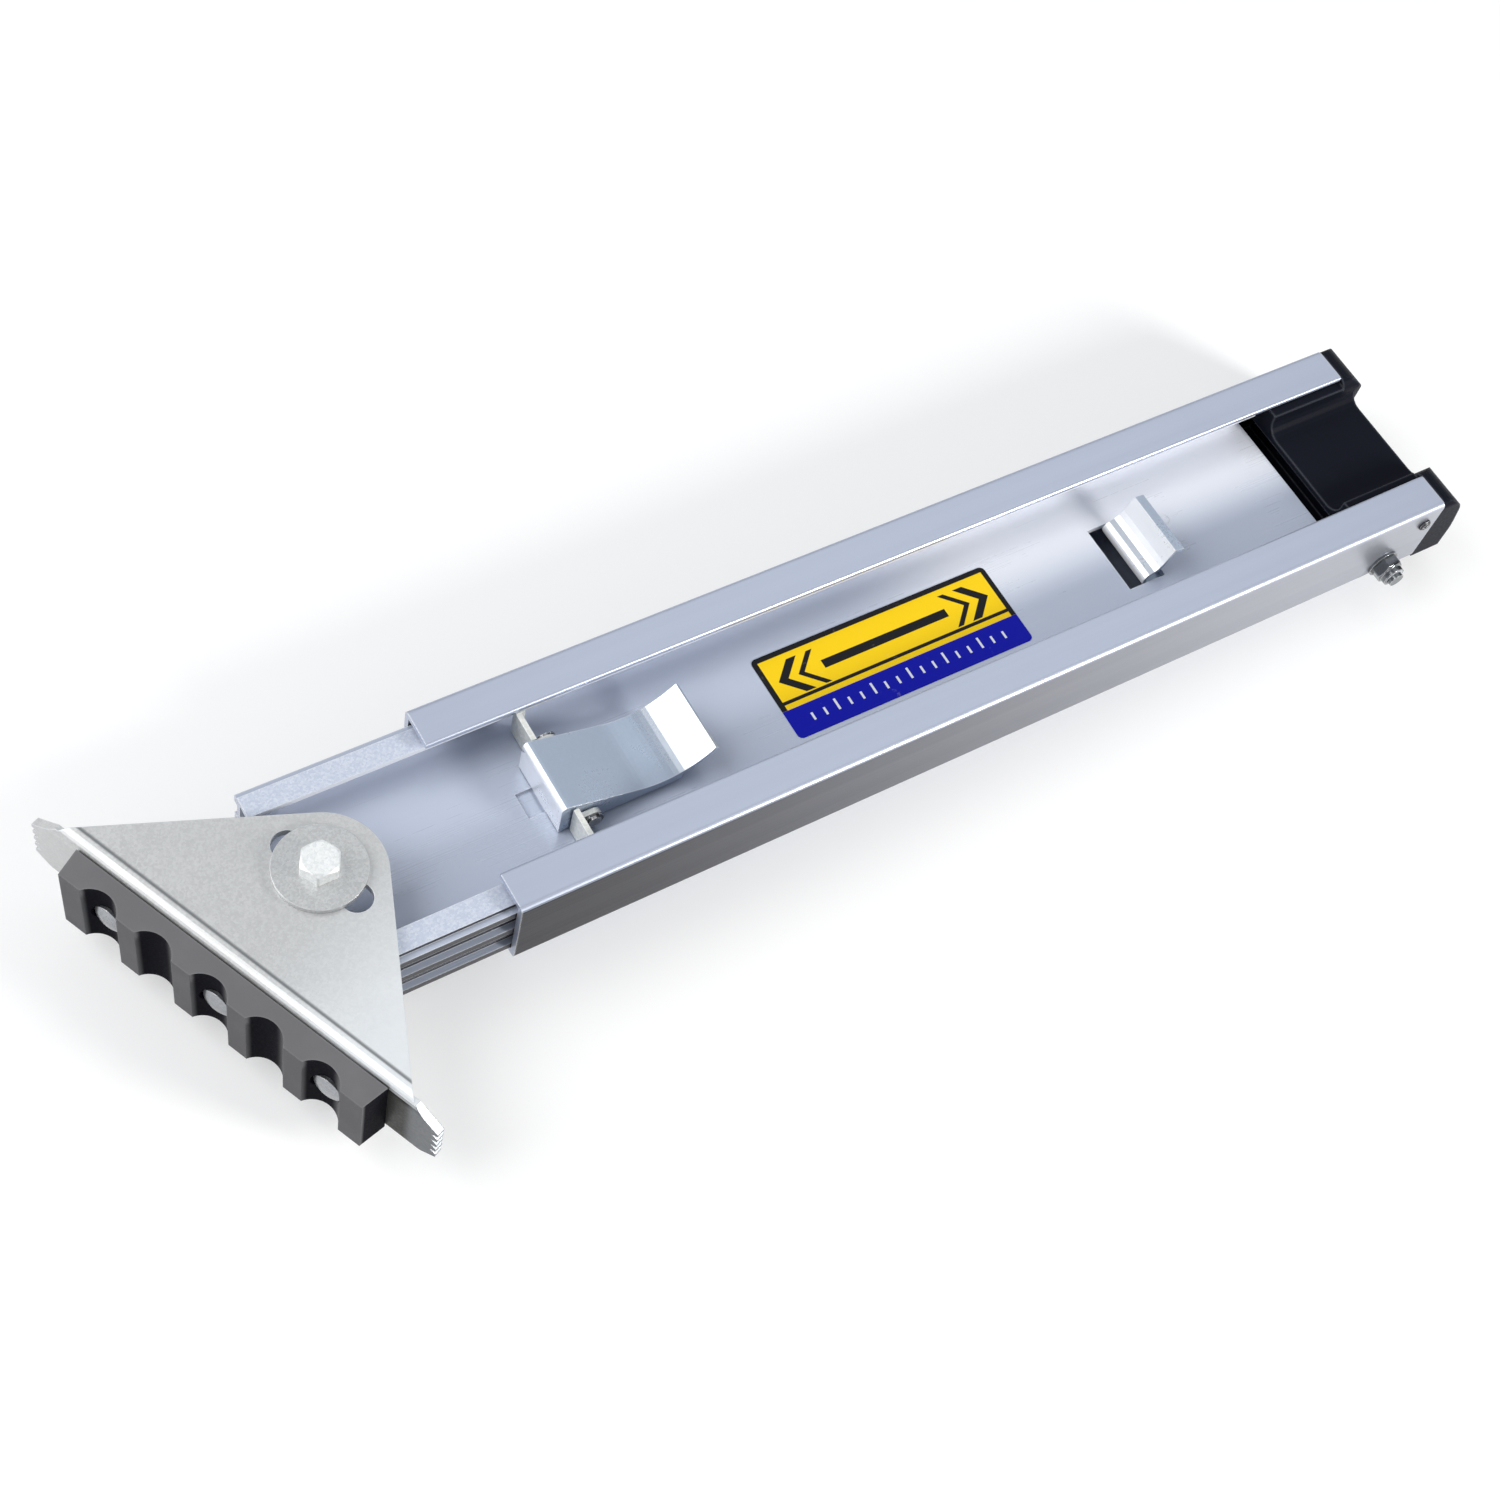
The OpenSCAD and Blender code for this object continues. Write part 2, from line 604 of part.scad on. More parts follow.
// Two rivets carry the clip's arm under the web, flush with the web's top face
module clip_rivet_at() { for (y = [-1, 1]) translate([clip_x + clip_arm - rivet_edge, y * clip_w / 4, web_under]) children(); }
module clip_rivets() {
    color([0.74, 0.78, 0.84]) clip_rivet_at() {
        translate([0, 0, clip_low - web_under]) cylinder(d = clip_rivet_d, h = web_top - clip_low);
        translate([0, 0, clip_low - web_under - 1]) cylinder(d1 = clip_rivet_d, d2 = clip_rivet_d + 2, h = 1);
    }
}

// Foot pivot hardware, from the bolt head down to the nut
module pivot_at(z = 0) { translate([pivot_x, 0, z]) children(); }
washer_top = foot_top + washer_gap + washer_t;
washer_low = foot_low - washer_gap - washer_t;

module pivot_bolt() {
    color([0.80, 0.80, 0.78]) {
        pivot_at(washer_low - nut_h - 1.2) cylinder(d = pivot_d, h = washer_top - washer_low + nut_h + 1.2 + eps);
        pivot_at(washer_top) hex_head(pivot_af, head_h);
    }
}

module pivot_washers() {
    color([0.80, 0.80, 0.78]) for (z = [foot_top + washer_gap, washer_low]) pivot_at(z) difference() {
        cylinder(d = washer_d, h = washer_t);
        translate([0, 0, -1]) cylinder(d = pivot_d + 0.5, h = washer_t + 2);
    }
}

module pivot_spacer() {
    color([0.66, 0.67, 0.68]) pivot_at(plate_low + 0.1) difference() {
        cylinder(d = spacer_d, h = plate_top - plate_low - 0.2);
        translate([0, 0, -1]) cylinder(d = pivot_d + 0.3, h = outer_h);
    }
}

module pivot_nut() {
    color([0.70, 0.71, 0.72]) pivot_at(washer_low) difference() {
        mirror([0, 0, 1]) hex_head(pivot_af, nut_h);
        translate([0, 0, -nut_h - 1]) cylinder(d = pivot_d + 0.04, h = nut_h + 2);
    }
}

// The foot and what turns with it
module turned() { translate([pivot_x, 0, 0]) rotate([0, 0, foot_angle]) children(); }
module foot_at() { turned() translate([0, -foot_set, 0]) children(); }

// Two bushings turn on the pivot bolt and run in the slots of the foot plates
module slot_bushings() {
    color([0.62, 0.62, 0.60]) turned() for (z = [plate_top, foot_low]) translate([0, 0, z + 0.05]) difference() {
        cylinder(d = slot_w - 0.2, h = foot_t - 0.1);
        translate([0, 0, -1]) cylinder(d = pivot_d + 0.1, h = foot_t + 2);
    }
}

// Foot bracket: two triangular plates joined by the base flange, with a toothed tab at each end
module plate_outline() {
    polygon(concat(arc([0, 0], apex_r, -45, 45, 18), [[-base_reach, base_half], [-base_reach, -base_half]]));
}
module slot_cut() {
    for (y = [-1, 1]) translate([0, y * slot_half, foot_low - 1]) cylinder(d = slot_w, h = foot_top - foot_low + 2);
    block([-slot_w / 2, -slot_half, foot_low - 1], [slot_w / 2, slot_half, foot_top + 1]);
}
module end_tab() {
    low = foot_low + 1.6;
    high = foot_top - 1.6;
    tip_low = low + tab_taper;
    pitch = (high - low - 2 * tab_taper) / tab_teeth;
    tip = base_half + tab_len;
    intersection() {
        translate([-base_reach + foot_t, 0, 0]) rotate([90, 0, -90]) linear_extrude(foot_t) mirror([1, 0]) polygon(concat(
            [[base_half - 6, low], [base_half, low]],
            [for (i = [0:tab_teeth - 1]) each [[tip, tip_low + pitch * (i + 0.2)], [tip, tip_low + pitch * (i + 0.6)],
                [tip - tooth_depth, tip_low + pitch * (i + 1)]]],
            [[base_half, high], [base_half - 6, high]]));
        across(2 * tip + 2) polygon(rounded([[-base_reach, foot_low], [0, foot_low], [0, foot_top], [-base_reach, foot_top]],
            [bend_r, 0, 0, bend_r], 8));
    }
}

module foot_bracket() {
    far = apex_r + 1;
    color([0.78, 0.79, 0.78]) foot_at() {
        difference() {
            intersection() {
                across(2 * base_half + 2) polygon(rounded(
                    [[-base_reach, foot_low], [far, foot_low], [far, plate_low], [-base_reach + foot_t, plate_low],
                    [-base_reach + foot_t, plate_top], [far, plate_top], [far, foot_top], [-base_reach, foot_top]],
                    [bend_r, 0, 0, bend_r - foot_t, bend_r - foot_t, 0, 0, bend_r], 8));
                translate([0, 0, foot_low - 1]) linear_extrude(foot_top - foot_low + 2) plate_outline();
            }
            slot_cut();
            pad_rivet_at() rod_x(rivet_d / 2 + 0.05, seat_x - 1, -base_reach + foot_t + 1);
        }
        both_sides() end_tab();
    }
}

// Rubber pad with half-round flutes across its face
flute_r = (flute_w * flute_w / 4 + flute_depth * flute_depth) / (2 * flute_depth);
module rubber_pad() {
    front = -base_reach - pad_t;
    color([0.22, 0.22, 0.23]) foot_at() difference() {
        translate([0, 0, foot_mid - pad_h / 2]) linear_extrude(pad_h) polygon(
            [[-base_reach, -pad_len / 2], [-base_reach, pad_len / 2], [front, pad_len / 2 - pad_draft],
            [front, -pad_len / 2 + pad_draft]]);
        for (i = [0:flutes - 1]) translate([front + flute_depth - flute_r, (i - (flutes - 1) / 2) * flute_pitch, foot_low])
            cylinder(r = flute_r, h = foot_top - foot_low);
        pad_rivet_at() {
            rod_x(rivet_d / 2 + 0.05, front - 1, -base_reach + 1);
            rod_x(rivet_head_d / 2 + 0.3, front - 1, seat_x);
        }
    }
}

// Rivets in every second flute, with a backing washer inside the bracket
module pad_rivet_at() { for (i = [0:2:flutes - 1]) translate([0, (i - (flutes - 1) / 2) * flute_pitch, foot_mid]) children(); }
inner_face = -base_reach + foot_t;
module pad_rivets() {
    color([0.78, 0.79, 0.80]) foot_at() pad_rivet_at() {
        rod_x(rivet_d / 2, seat_x, inner_face + backing_t + clinch_h);
        rod_x(rivet_d * 0.72, inner_face + backing_t, inner_face + backing_t + clinch_h);
        translate([seat_x, 0, 0]) rotate([0, -90, 0]) intersection() {
            translate([0, 0, -rivet_head_d + rivet_head_h]) sphere(d = 2 * rivet_head_d);
            cylinder(d = rivet_head_d, h = rivet_head_h);
        }
    }
}

module pad_washers() {
    color([0.70, 0.71, 0.72]) foot_at() pad_rivet_at() difference() {
        rod_x(rivet_d, inner_face, inner_face + backing_t);
        rod_x(rivet_d / 2 + 0.05, inner_face - 1, inner_face + backing_t + 1);
    }
}

outer_channel();
end_cap();
cap_screws();
anchor_bolt();
anchor_washers();
anchor_nut();
hanger_near();
hanger_far();
hanger_rivets();
lever_pin();
pin_clips();
release_lever();
lever_spring();
leg_channel();
label_plate();
clip_rivets();
pivot_bolt();
pivot_washers();
pivot_spacer();
pivot_nut();
stop_clip();
slot_bushings();
foot_bracket();
rubber_pad();
pad_rivets();
pad_washers();
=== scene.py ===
"""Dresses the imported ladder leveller: materials, threads and small trim, lights, floor and camera."""
import json
import math

import bmesh
import bpy
from bpy.props import FloatProperty, FloatVectorProperty, IntProperty, PointerProperty
from mathutils import Matrix, Vector


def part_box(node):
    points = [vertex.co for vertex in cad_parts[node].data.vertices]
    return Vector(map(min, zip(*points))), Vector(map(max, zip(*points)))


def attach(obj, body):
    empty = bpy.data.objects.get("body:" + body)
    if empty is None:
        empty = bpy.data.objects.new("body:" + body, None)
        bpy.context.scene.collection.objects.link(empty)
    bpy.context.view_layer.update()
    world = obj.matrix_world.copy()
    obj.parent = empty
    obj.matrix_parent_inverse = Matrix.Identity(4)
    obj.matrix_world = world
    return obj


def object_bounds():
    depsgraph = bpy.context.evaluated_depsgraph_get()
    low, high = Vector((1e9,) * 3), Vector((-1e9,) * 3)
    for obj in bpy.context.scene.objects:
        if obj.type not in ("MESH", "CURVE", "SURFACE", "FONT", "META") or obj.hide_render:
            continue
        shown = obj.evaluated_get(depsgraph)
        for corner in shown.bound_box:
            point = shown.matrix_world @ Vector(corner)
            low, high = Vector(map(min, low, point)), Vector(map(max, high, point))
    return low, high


bl_info = {
    "name": "Ladder Leveller Finish",
    "version": (1, 0, 0),
    "blender": (4, 5, 0),
    "location": "View3D > Sidebar > Leveller",
    "description": "Finishes, trim and studio for a ladder leveller",
    "category": "Object",
}

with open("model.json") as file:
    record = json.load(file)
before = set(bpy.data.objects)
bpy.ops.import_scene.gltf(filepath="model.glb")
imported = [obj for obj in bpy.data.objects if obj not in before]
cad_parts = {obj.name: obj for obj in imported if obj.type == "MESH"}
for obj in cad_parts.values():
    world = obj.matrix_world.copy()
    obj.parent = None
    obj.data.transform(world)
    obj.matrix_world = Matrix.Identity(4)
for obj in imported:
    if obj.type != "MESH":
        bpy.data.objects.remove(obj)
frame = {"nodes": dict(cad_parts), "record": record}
NODES = frame["nodes"]
CAD_BOX = [list(corner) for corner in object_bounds()]
MM = 0.001

# The camera that was fitted to the photograph, in millimetres and unit vectors
CAMERA_AT = (-388.9, -298.9, 672.5)
CAMERA_RIGHT = (0.8476, -0.5031, 0.1690)
CAMERA_UP = (0.3630, 0.7818, 0.5070)
CAMERA_LENS = 55.83

# The label's print, in metres from its middle: the black, the border's width, the foot of the ticks,
# the height of the arrows' axis, and how far out each chevron's stroke starts and ends
LABEL_INK = (0.012, 0.012, 0.014)
LABEL_BORDER = 2.0 * MM
TICK_FOOT = -12.5 * MM
ARROW_MIDDLE = 5.5 * MM
BOLD_CHEVRON = (40.0 * MM, 44.0 * MM)
THIN_CHEVRON = (33.5 * MM, 36.0 * MM)

# The foot's painted light and shade: where the painted light at the near corner, the painted shade and
# painted reflection on the flange's face and the painted shade on the tab start and end, in metres back from
# its near corner, and the painted shaded line in the crease behind the bend, in metres in from the flange's
# face
PALE_FROM, PALE_TO = 80.0 * MM, 22.0 * MM
FLANGE_SHADE_FROM, FLANGE_SHADE_TO = 30.0 * MM, 22.0 * MM
SHEEN_FROM, SHEEN_TO = 13.0 * MM, 9.0 * MM
TAB_FROM, TAB_TO = 10.0 * MM, 7.0 * MM
CREASE_IN = (4.6 * MM, 5.2 * MM)
CREASE_OUT = (5.4 * MM, 6.4 * MM)

# Tone of the soft clouds in zinc plating, multiplied in
CLOUD_TONE = (0.78, 0.79, 0.77)

# Light that the floor shows the camera on top of what falls on it, so that it reads as white
FLOOR_GLOW = 0.33
FLOOR_HALF = 6.0
FLOOR_BELOW = 0.1 * MM

# Soft round lamps: name, place, diameter, tint, and the studio property with their power
LAMP_AIM = (-0.02, 0.0, 0.02)
LAMPS = (
    ("Key Lamp", (0.68, -1.05, 0.62), 0.38, (1.0, 0.985, 0.96), "key_power"),
    ("Fill Lamp", (0.65, 0.60, 1.30), 1.4, (0.93, 0.96, 1.0), "fill_power"),
    ("Side Lamp", (-1.05, 0.52, 0.90), 1.4, (1.0, 1.0, 1.0), "side_power"),
)


def colour(name, text, default):
    return FloatVectorProperty(name=name, description=text, subtype="COLOR", size=3, min=0.0, max=1.0,
                               default=default)


def length(name, text, default):
    return FloatProperty(name=name, description=text, subtype="DISTANCE", unit="LENGTH", default=default)


def share(name, text, default):
    return FloatProperty(name=name, description=text, subtype="FACTOR", min=0.0, max=1.0, default=default)


def watts(name, text, default):
    return FloatProperty(name=name, description=text, unit="POWER", default=default, min=0.0)


class LevellerColours(bpy.types.PropertyGroup):
    """Colours of the finishes"""
    channel: colour("Channel", "Satin aluminium of the outer channel", (0.54, 0.585, 0.70))
    # Painted shade and painted light on the outer faces of the channel's side walls: dark at the -X end,
    # paler towards +X
    channel_side_shade: colour("Channel sides", "Darker mill finish on the side walls", (0.024, 0.023, 0.027))
    channel_side_light: colour("Channel side ends", "Paler end of the side walls", (0.44, 0.45, 0.50))
    leg: colour("Leg", "Bright aluminium of the leg", (0.50, 0.55, 0.66))
    # Painted shade on the outer faces of the leg's side walls
    leg_side_shade: colour("Leg sides", "Darker outer faces of the leg", (0.024, 0.023, 0.029))
    plating: colour("Zinc plating", "Plated steel of the foot and washers", (0.62, 0.625, 0.625))
    lever: colour("Lever plating", "Bright plating of the lever and the clip", (0.41, 0.48, 0.59))
    rubber: colour("Rubber", "Rubber of the pad", (0.150, 0.148, 0.155))
    # Painted shade inside the pad's flutes
    flute_shade: colour("Flutes", "Dark insides of the pad's flutes", (0.006, 0.006, 0.010))
    plastic: colour("Plastic", "Plastic of the end cap", (0.008, 0.009, 0.015))
    label_panel: colour("Label panel", "Yellow panel of the label", (0.93, 0.62, 0.010))
    label_band: colour("Label band", "Blue band of the label", (0.004, 0.007, 0.38))


class LevellerTrim(bpy.types.PropertyGroup):
    """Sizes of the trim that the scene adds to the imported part"""
    thread_pitch: length("Thread pitch", "Distance between the turns of a bolt thread", 1.0 * MM)
    thread_depth: length("Thread depth", "Depth of a bolt thread", 0.42 * MM)
    edge_radius: length("Edge radius", "Radius that the finishes give to sharp metal edges", 0.25 * MM)
    collar_in: length("Collar inside", "Inner radius of the anchor nut's nylon collar", 3.1 * MM)
    collar_out: length("Collar outside", "Outer radius of the anchor nut's nylon collar", 3.9 * MM)
    thread_sides: IntProperty(name="Thread sides", description="Points round one turn of a thread",
                              default=24, min=8, max=64)


class LevellerStudio(bpy.types.PropertyGroup):
    """Lights and floor of the studio"""
    key_power: watts("Key power", "Power of the main soft lamp, at the near side", 16.0)
    fill_power: watts("Fill power", "Power of the wide overhead lamp", 2.5)
    side_power: watts("Side power", "Power of the lamp beyond the foot", 15.0)
    world_level: share("World level", "Brightness of the surroundings", 0.42)
    floor_shade: colour("Floor", "Colour of the floor", (0.66, 0.66, 0.66))


class Shader:
    """A small helper that adds nodes to a tree from left to right and links them"""

    def __init__(self, tree):
        self.tree = tree
        self.count = 0

    def add(self, kind, settings=None, inputs=None):
        node = self.tree.nodes.new(kind)
        node.location = (self.count % 8 * 190, -(self.count // 8) * 260)
        self.count += 1
        for key, value in (settings or {}).items():
            setattr(node, key, value)
        for key, value in (inputs or {}).items():
            if isinstance(value, bpy.types.NodeSocket):
                self.tree.links.new(value, node.inputs[key])
            else:
                node.inputs[key].default_value = value
        return node

    def math(self, operation, a, b=0.0):
        return self.add("ShaderNodeMath", {"operation": operation}, {0: a, 1: b}).outputs[0]

    def times(self, a, b):
        return self.math("MULTIPLY", a, b)

    def plus(self, a, b):
        return self.math("ADD", a, b)

    def larger(self, a, b):
        return self.math("MAXIMUM", a, b)

    def dot(self, a, b):
        node = self.add("ShaderNodeVectorMath", {"operation": "DOT_PRODUCT"}, {0: a, 1: b})
        return node.outputs["Value"]

    def span(self, value, low, high, to_low=0.0, to_high=1.0):
        """Smooth step: to_low where the value is at low, to_high where it is at high"""
        node = self.add("ShaderNodeMapRange", {"interpolation_type": "SMOOTHSTEP"},
                        {"Value": value, "From Min": low, "From Max": high,
                         "To Min": to_low, "To Max": to_high})
        return node.outputs[0]

    def mix(self, factor, a, b, blend="MIX"):
        node = self.add("ShaderNodeMix", {"data_type": "RGBA", "blend_type": blend, "clamp_factor": True})
        for index, value in ((0, factor), (6, a), (7, b)):
            if isinstance(value, bpy.types.NodeSocket):
                self.tree.links.new(value, node.inputs[index])
            elif index == 0:
                node.inputs[0].default_value = value
            else:
                node.inputs[index].default_value = (*value[:3], 1.0)
        return node.outputs[2]

    def place(self, scale=(1.0, 1.0, 1.0), offset=(0.0, 0.0, 0.0), turn=(0.0, 0.0, 0.0)):
        coords = self.add("ShaderNodeTexCoord").outputs["Object"]
        return self.add("ShaderNodeMapping", inputs={"Vector": coords, "Scale": scale, "Location": offset,
                                                     "Rotation": turn}).outputs[0]

    def axes(self, vector):
        return self.add("ShaderNodeSeparateXYZ", inputs={0: vector}).outputs

    def normal(self):
        return self.axes(self.add("ShaderNodeNewGeometry").outputs["Normal"])

    def noise(self, vector, scale, detail=3.0, rough=0.5):
        return self.add("ShaderNodeTexNoise", inputs={"Vector": vector, "Scale": scale, "Detail": detail,
                                                      "Roughness": rough}).outputs["Fac"]


def effect(name, inputs, outputs, build):
    """Makes a shader node group with named inputs and outputs, once"""
    if name in bpy.data.node_groups:
        return bpy.data.node_groups[name]
    group = bpy.data.node_groups.new(name, "ShaderNodeTree")
    for label, default in inputs:
        socket = group.interface.new_socket(label, in_out="INPUT", socket_type="NodeSocketFloat")
        socket.default_value = default
    for label in outputs:
        group.interface.new_socket(label, in_out="OUTPUT", socket_type="NodeSocketFloat")
    shader = Shader(group)
    results = build(shader, shader.add("NodeGroupInput").outputs)
    shader.add("NodeGroupOutput", inputs=dict(zip(outputs, results)))
    return group


def extrusion_lines():
    """Fine lines along X, as a die leaves on aluminium"""
    def build(s, given):
        fine = s.noise(s.place((4.0, 900.0, 900.0)), 1.0, 4.0, 0.65)
        broad = s.noise(s.place((1.5, 160.0, 160.0)), 1.0, 2.0)
        both = s.plus(s.times(fine, 0.6), s.times(broad, 0.4))
        return s.times(both, given["Strength"]), s.times(fine, given["Strength"])
    return effect("Extrusion Lines", [("Strength", 1.0)], ["Mask", "Height"], build)


def plating_speckle():
    """Fine crystals and soft clouds of zinc plating"""
    def build(s, given):
        where = s.place()
        grain = s.add("ShaderNodeTexVoronoi", {"feature": "F1"}, {"Vector": where, "Scale": given["Scale"]})
        tone = s.add("ShaderNodeSeparateColor", inputs={"Color": grain.outputs["Color"]}).outputs[0]
        fine = s.noise(where, s.times(given["Scale"], 2.4), 2.0)
        speckle = s.plus(s.times(tone, 0.4), s.times(fine, 0.6))
        clouds = s.span(s.noise(where, 55.0, 4.0, 0.6), 0.35, 0.7)
        return speckle, clouds
    return effect("Plating Speckle", [("Scale", 900.0)], ["Speckle", "Clouds"], build)


def handling_marks():
    """Rubbed patches and faint scratches that run mostly along X"""
    def build(s, given):
        patches = s.span(s.noise(s.place(), 26.0, 5.0, 0.6), 0.45, 0.75)
        bent = s.place((26.0, 420.0, 90.0), (0.7, 2.3, 5.0), (0.0, 0.0, 0.12))
        scratch = s.span(s.noise(bent, 1.0, 3.0, 0.5), 0.64, 0.76)
        marks = s.times(scratch, patches)
        amount = given["Amount"]
        return s.times(patches, amount), s.times(marks, amount)
    return effect("Handling Marks", [("Amount", 1.0)], ["Patches", "Scratches"], build)


def edge_mask():
    """Where a surface turns sharply: its normal, rounded over a radius, differs from the true one"""
    def build(s, given):
        rounded = s.add("ShaderNodeBevel", {"samples": 6}, {"Radius": given["Radius"]}).outputs[0]
        true = s.add("ShaderNodeNewGeometry").outputs["Normal"]
        turn = s.dot(rounded, true)
        return (s.span(turn, 0.995, 0.80, 0.0, 1.0),)
    # The finishes mix this mask into the colour as edge wear and as a painted highlight along edges
    return effect("Edge Wear", [("Radius", 0.0006)], ["Mask"], build)


def use(s, group, **inputs):
    node = s.add("ShaderNodeGroup", {"node_tree": group})
    for key, value in inputs.items():
        node.inputs[key].default_value = value
    return node.outputs


def finish(name, build):
    """Makes a material from a function that fills in the surface shader's sockets"""
    material = bpy.data.materials.new(name)
    material.use_nodes = True
    tree = material.node_tree
    tree.nodes.clear()
    s = Shader(tree)
    surface = s.add("ShaderNodeBsdfPrincipled")
    for key, value in build(s).items():
        if isinstance(value, bpy.types.NodeSocket):
            tree.links.new(value, surface.inputs[key])
        else:
            surface.inputs[key].default_value = value
    s.add("ShaderNodeOutputMaterial", inputs={"Surface": surface.outputs[0]})
    return material


def bump(s, height, strength, distance, radius=None):
    inputs = {"Height": height, "Strength": strength, "Distance": distance}
    if radius:
        inputs["Normal"] = s.add("ShaderNodeBevel", {"samples": 6}, {"Radius": radius}).outputs[0]
    return s.add("ShaderNodeBump", inputs=inputs).outputs[0]


def outer_side(s, reach):
    """Mask of the outer faces of the side walls, which lie beyond reach from the middle plane"""
    turned = s.span(s.math("ABSOLUTE", s.normal()["Y"]), 0.80, 0.98)
    far_out = s.span(s.math("ABSOLUTE", s.axes(s.place())["Y"]), reach - 0.2 * MM, reach)
    return s.times(turned, far_out)


def channel_finish(props, colours):
    def build(s):
        lines = use(s, extrusion_lines(), Strength=1.0)
        marks = use(s, handling_marks(), Amount=0.6)
        edges = use(s, edge_mask(), Radius=0.0011)
        # Painted shade on the outer faces of the side walls, turning into painted light towards +X along lit
        side = outer_side(s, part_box("outer_channel")[1].y - 1.0 * MM)
        lit = s.span(s.axes(s.place())["X"], -0.22, 0.20)
        base = s.mix(side, colours.channel, s.mix(lit, colours.channel_side_shade, colours.channel_side_light))
        base = s.mix(s.times(lines["Mask"], 0.30), base, (0.82, 0.86, 0.92), "MULTIPLY")
        base = s.mix(s.times(marks["Patches"], 0.12), base, (0.85, 0.85, 0.86), "MULTIPLY")
        # Edge wear and a painted highlight along edges
        base = s.mix(s.times(edges["Mask"], 0.5), base, (0.86, 0.86, 0.86))
        rough = s.plus(s.span(lines["Mask"], 0.2, 0.8, 0.28, 0.42),
                       s.times(marks["Scratches"], 0.15))
        return {"Base Color": base, "Metallic": 0.72, "Roughness": rough,
                "Normal": bump(s, lines["Height"], 0.22, 0.00008, props.edge_radius)}
    return finish("Satin Channel", build)


def leg_finish(props, colours):
    def build(s):
        lines = use(s, extrusion_lines(), Strength=1.0)
        marks = use(s, handling_marks(), Amount=1.0)
        edges = use(s, edge_mask(), Radius=0.0008)
        speckle = use(s, plating_speckle(), Scale=1500.0)
        side = outer_side(s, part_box("leg_channel")[1].y - 3.2 * MM)
        lips = s.span(s.axes(s.place())["Z"], 0.0280, 0.0286)
        mottle = s.times(lips, s.span(speckle["Speckle"], 0.3, 0.8))
        base = s.mix(s.times(lines["Mask"], 0.10), colours.leg, (0.78, 0.83, 0.92), "MULTIPLY")
        # Painted light: faces turned sideways, the inner walls among them, are made paler
        wall_light = s.span(s.math("ABSOLUTE", s.normal()["Y"]), 0.5, 0.9)
        base = s.mix(s.times(wall_light, 0.85), base, (0.86, 0.87, 0.92))
        # Painted light on the far half of the web, not on the lips
        far = s.times(s.span(s.axes(s.place())["Y"], -6.0 * MM, 16.0 * MM, 0.0, 0.7),
                     s.span(s.axes(s.place())["X"], -0.035, 0.035))
        base = s.mix(s.times(far, s.span(lips, 0.0, 1.0, 1.0, 0.0)), base, (0.90, 0.91, 0.95))
        base = s.mix(s.times(mottle, 0.45), base, (0.80, 0.83, 0.88))
        # Painted shade on the outer faces of the leg's side walls
        base = s.mix(side, base, colours.leg_side_shade)
        base = s.mix(s.times(marks["Scratches"], 0.25), base, (0.75, 0.77, 0.80))
        # Edge wear and a painted highlight along edges
        base = s.mix(s.times(edges["Mask"], 0.6), base, (0.85, 0.87, 0.90))
        rough = s.plus(s.span(lines["Mask"], 0.2, 0.8, 0.26, 0.30), s.times(lips, 0.10))
        rough = s.plus(rough, s.times(marks["Patches"], 0.05))
        grain = s.plus(lines["Height"], s.times(mottle, 1.2))
        return {"Base Color": base, "Metallic": 0.15, "Roughness": rough,
                "Normal": bump(s, grain, 0.03, 0.00006, props.edge_radius)}
    return finish("Bright Leg", build)


def plated_finish(name, props, tint, rough_low, rough_high, grain, metal=0.85, cloud=0.1,
                  relief=0.22, spread=0.1, painted_highlight=0.0, scratched=0.5):
    def build(s):
        speckle = use(s, plating_speckle(), Scale=grain)
        marks = use(s, handling_marks(), Amount=1.0)
        edges = use(s, edge_mask(), Radius=0.0008)
        base = s.mix(s.span(speckle["Speckle"], 0.25, 0.8),
                     [c * (1.0 - spread) for c in tint], [min(1.0, c * (1.0 + spread)) for c in tint])
        base = s.mix(s.times(speckle["Clouds"], cloud), base, CLOUD_TONE, "MULTIPLY")
        base = s.mix(s.times(marks["Scratches"], scratched), base, (0.80, 0.81, 0.82))
        # Painted highlight on faces turned towards -X
        if painted_highlight:
            base = s.mix(s.span(s.normal()["X"], -0.14, -0.55, 0.0, painted_highlight), base, (0.93, 0.95, 0.98))
        # Edge wear and a painted highlight along edges
        base = s.mix(s.times(edges["Mask"], 0.6), base, (0.84, 0.85, 0.86))
        rough = s.add("ShaderNodeMapRange", inputs={"Value": speckle["Speckle"], "To Min": rough_low,
                                                    "To Max": rough_high}).outputs[0]
        rough = s.plus(rough, s.times(speckle["Clouds"], 0.06))
        return {"Base Color": base, "Metallic": metal, "Roughness": rough,
                "Normal": bump(s, speckle["Speckle"], relief, 0.00005, props.edge_radius)}
    return finish(name, build)


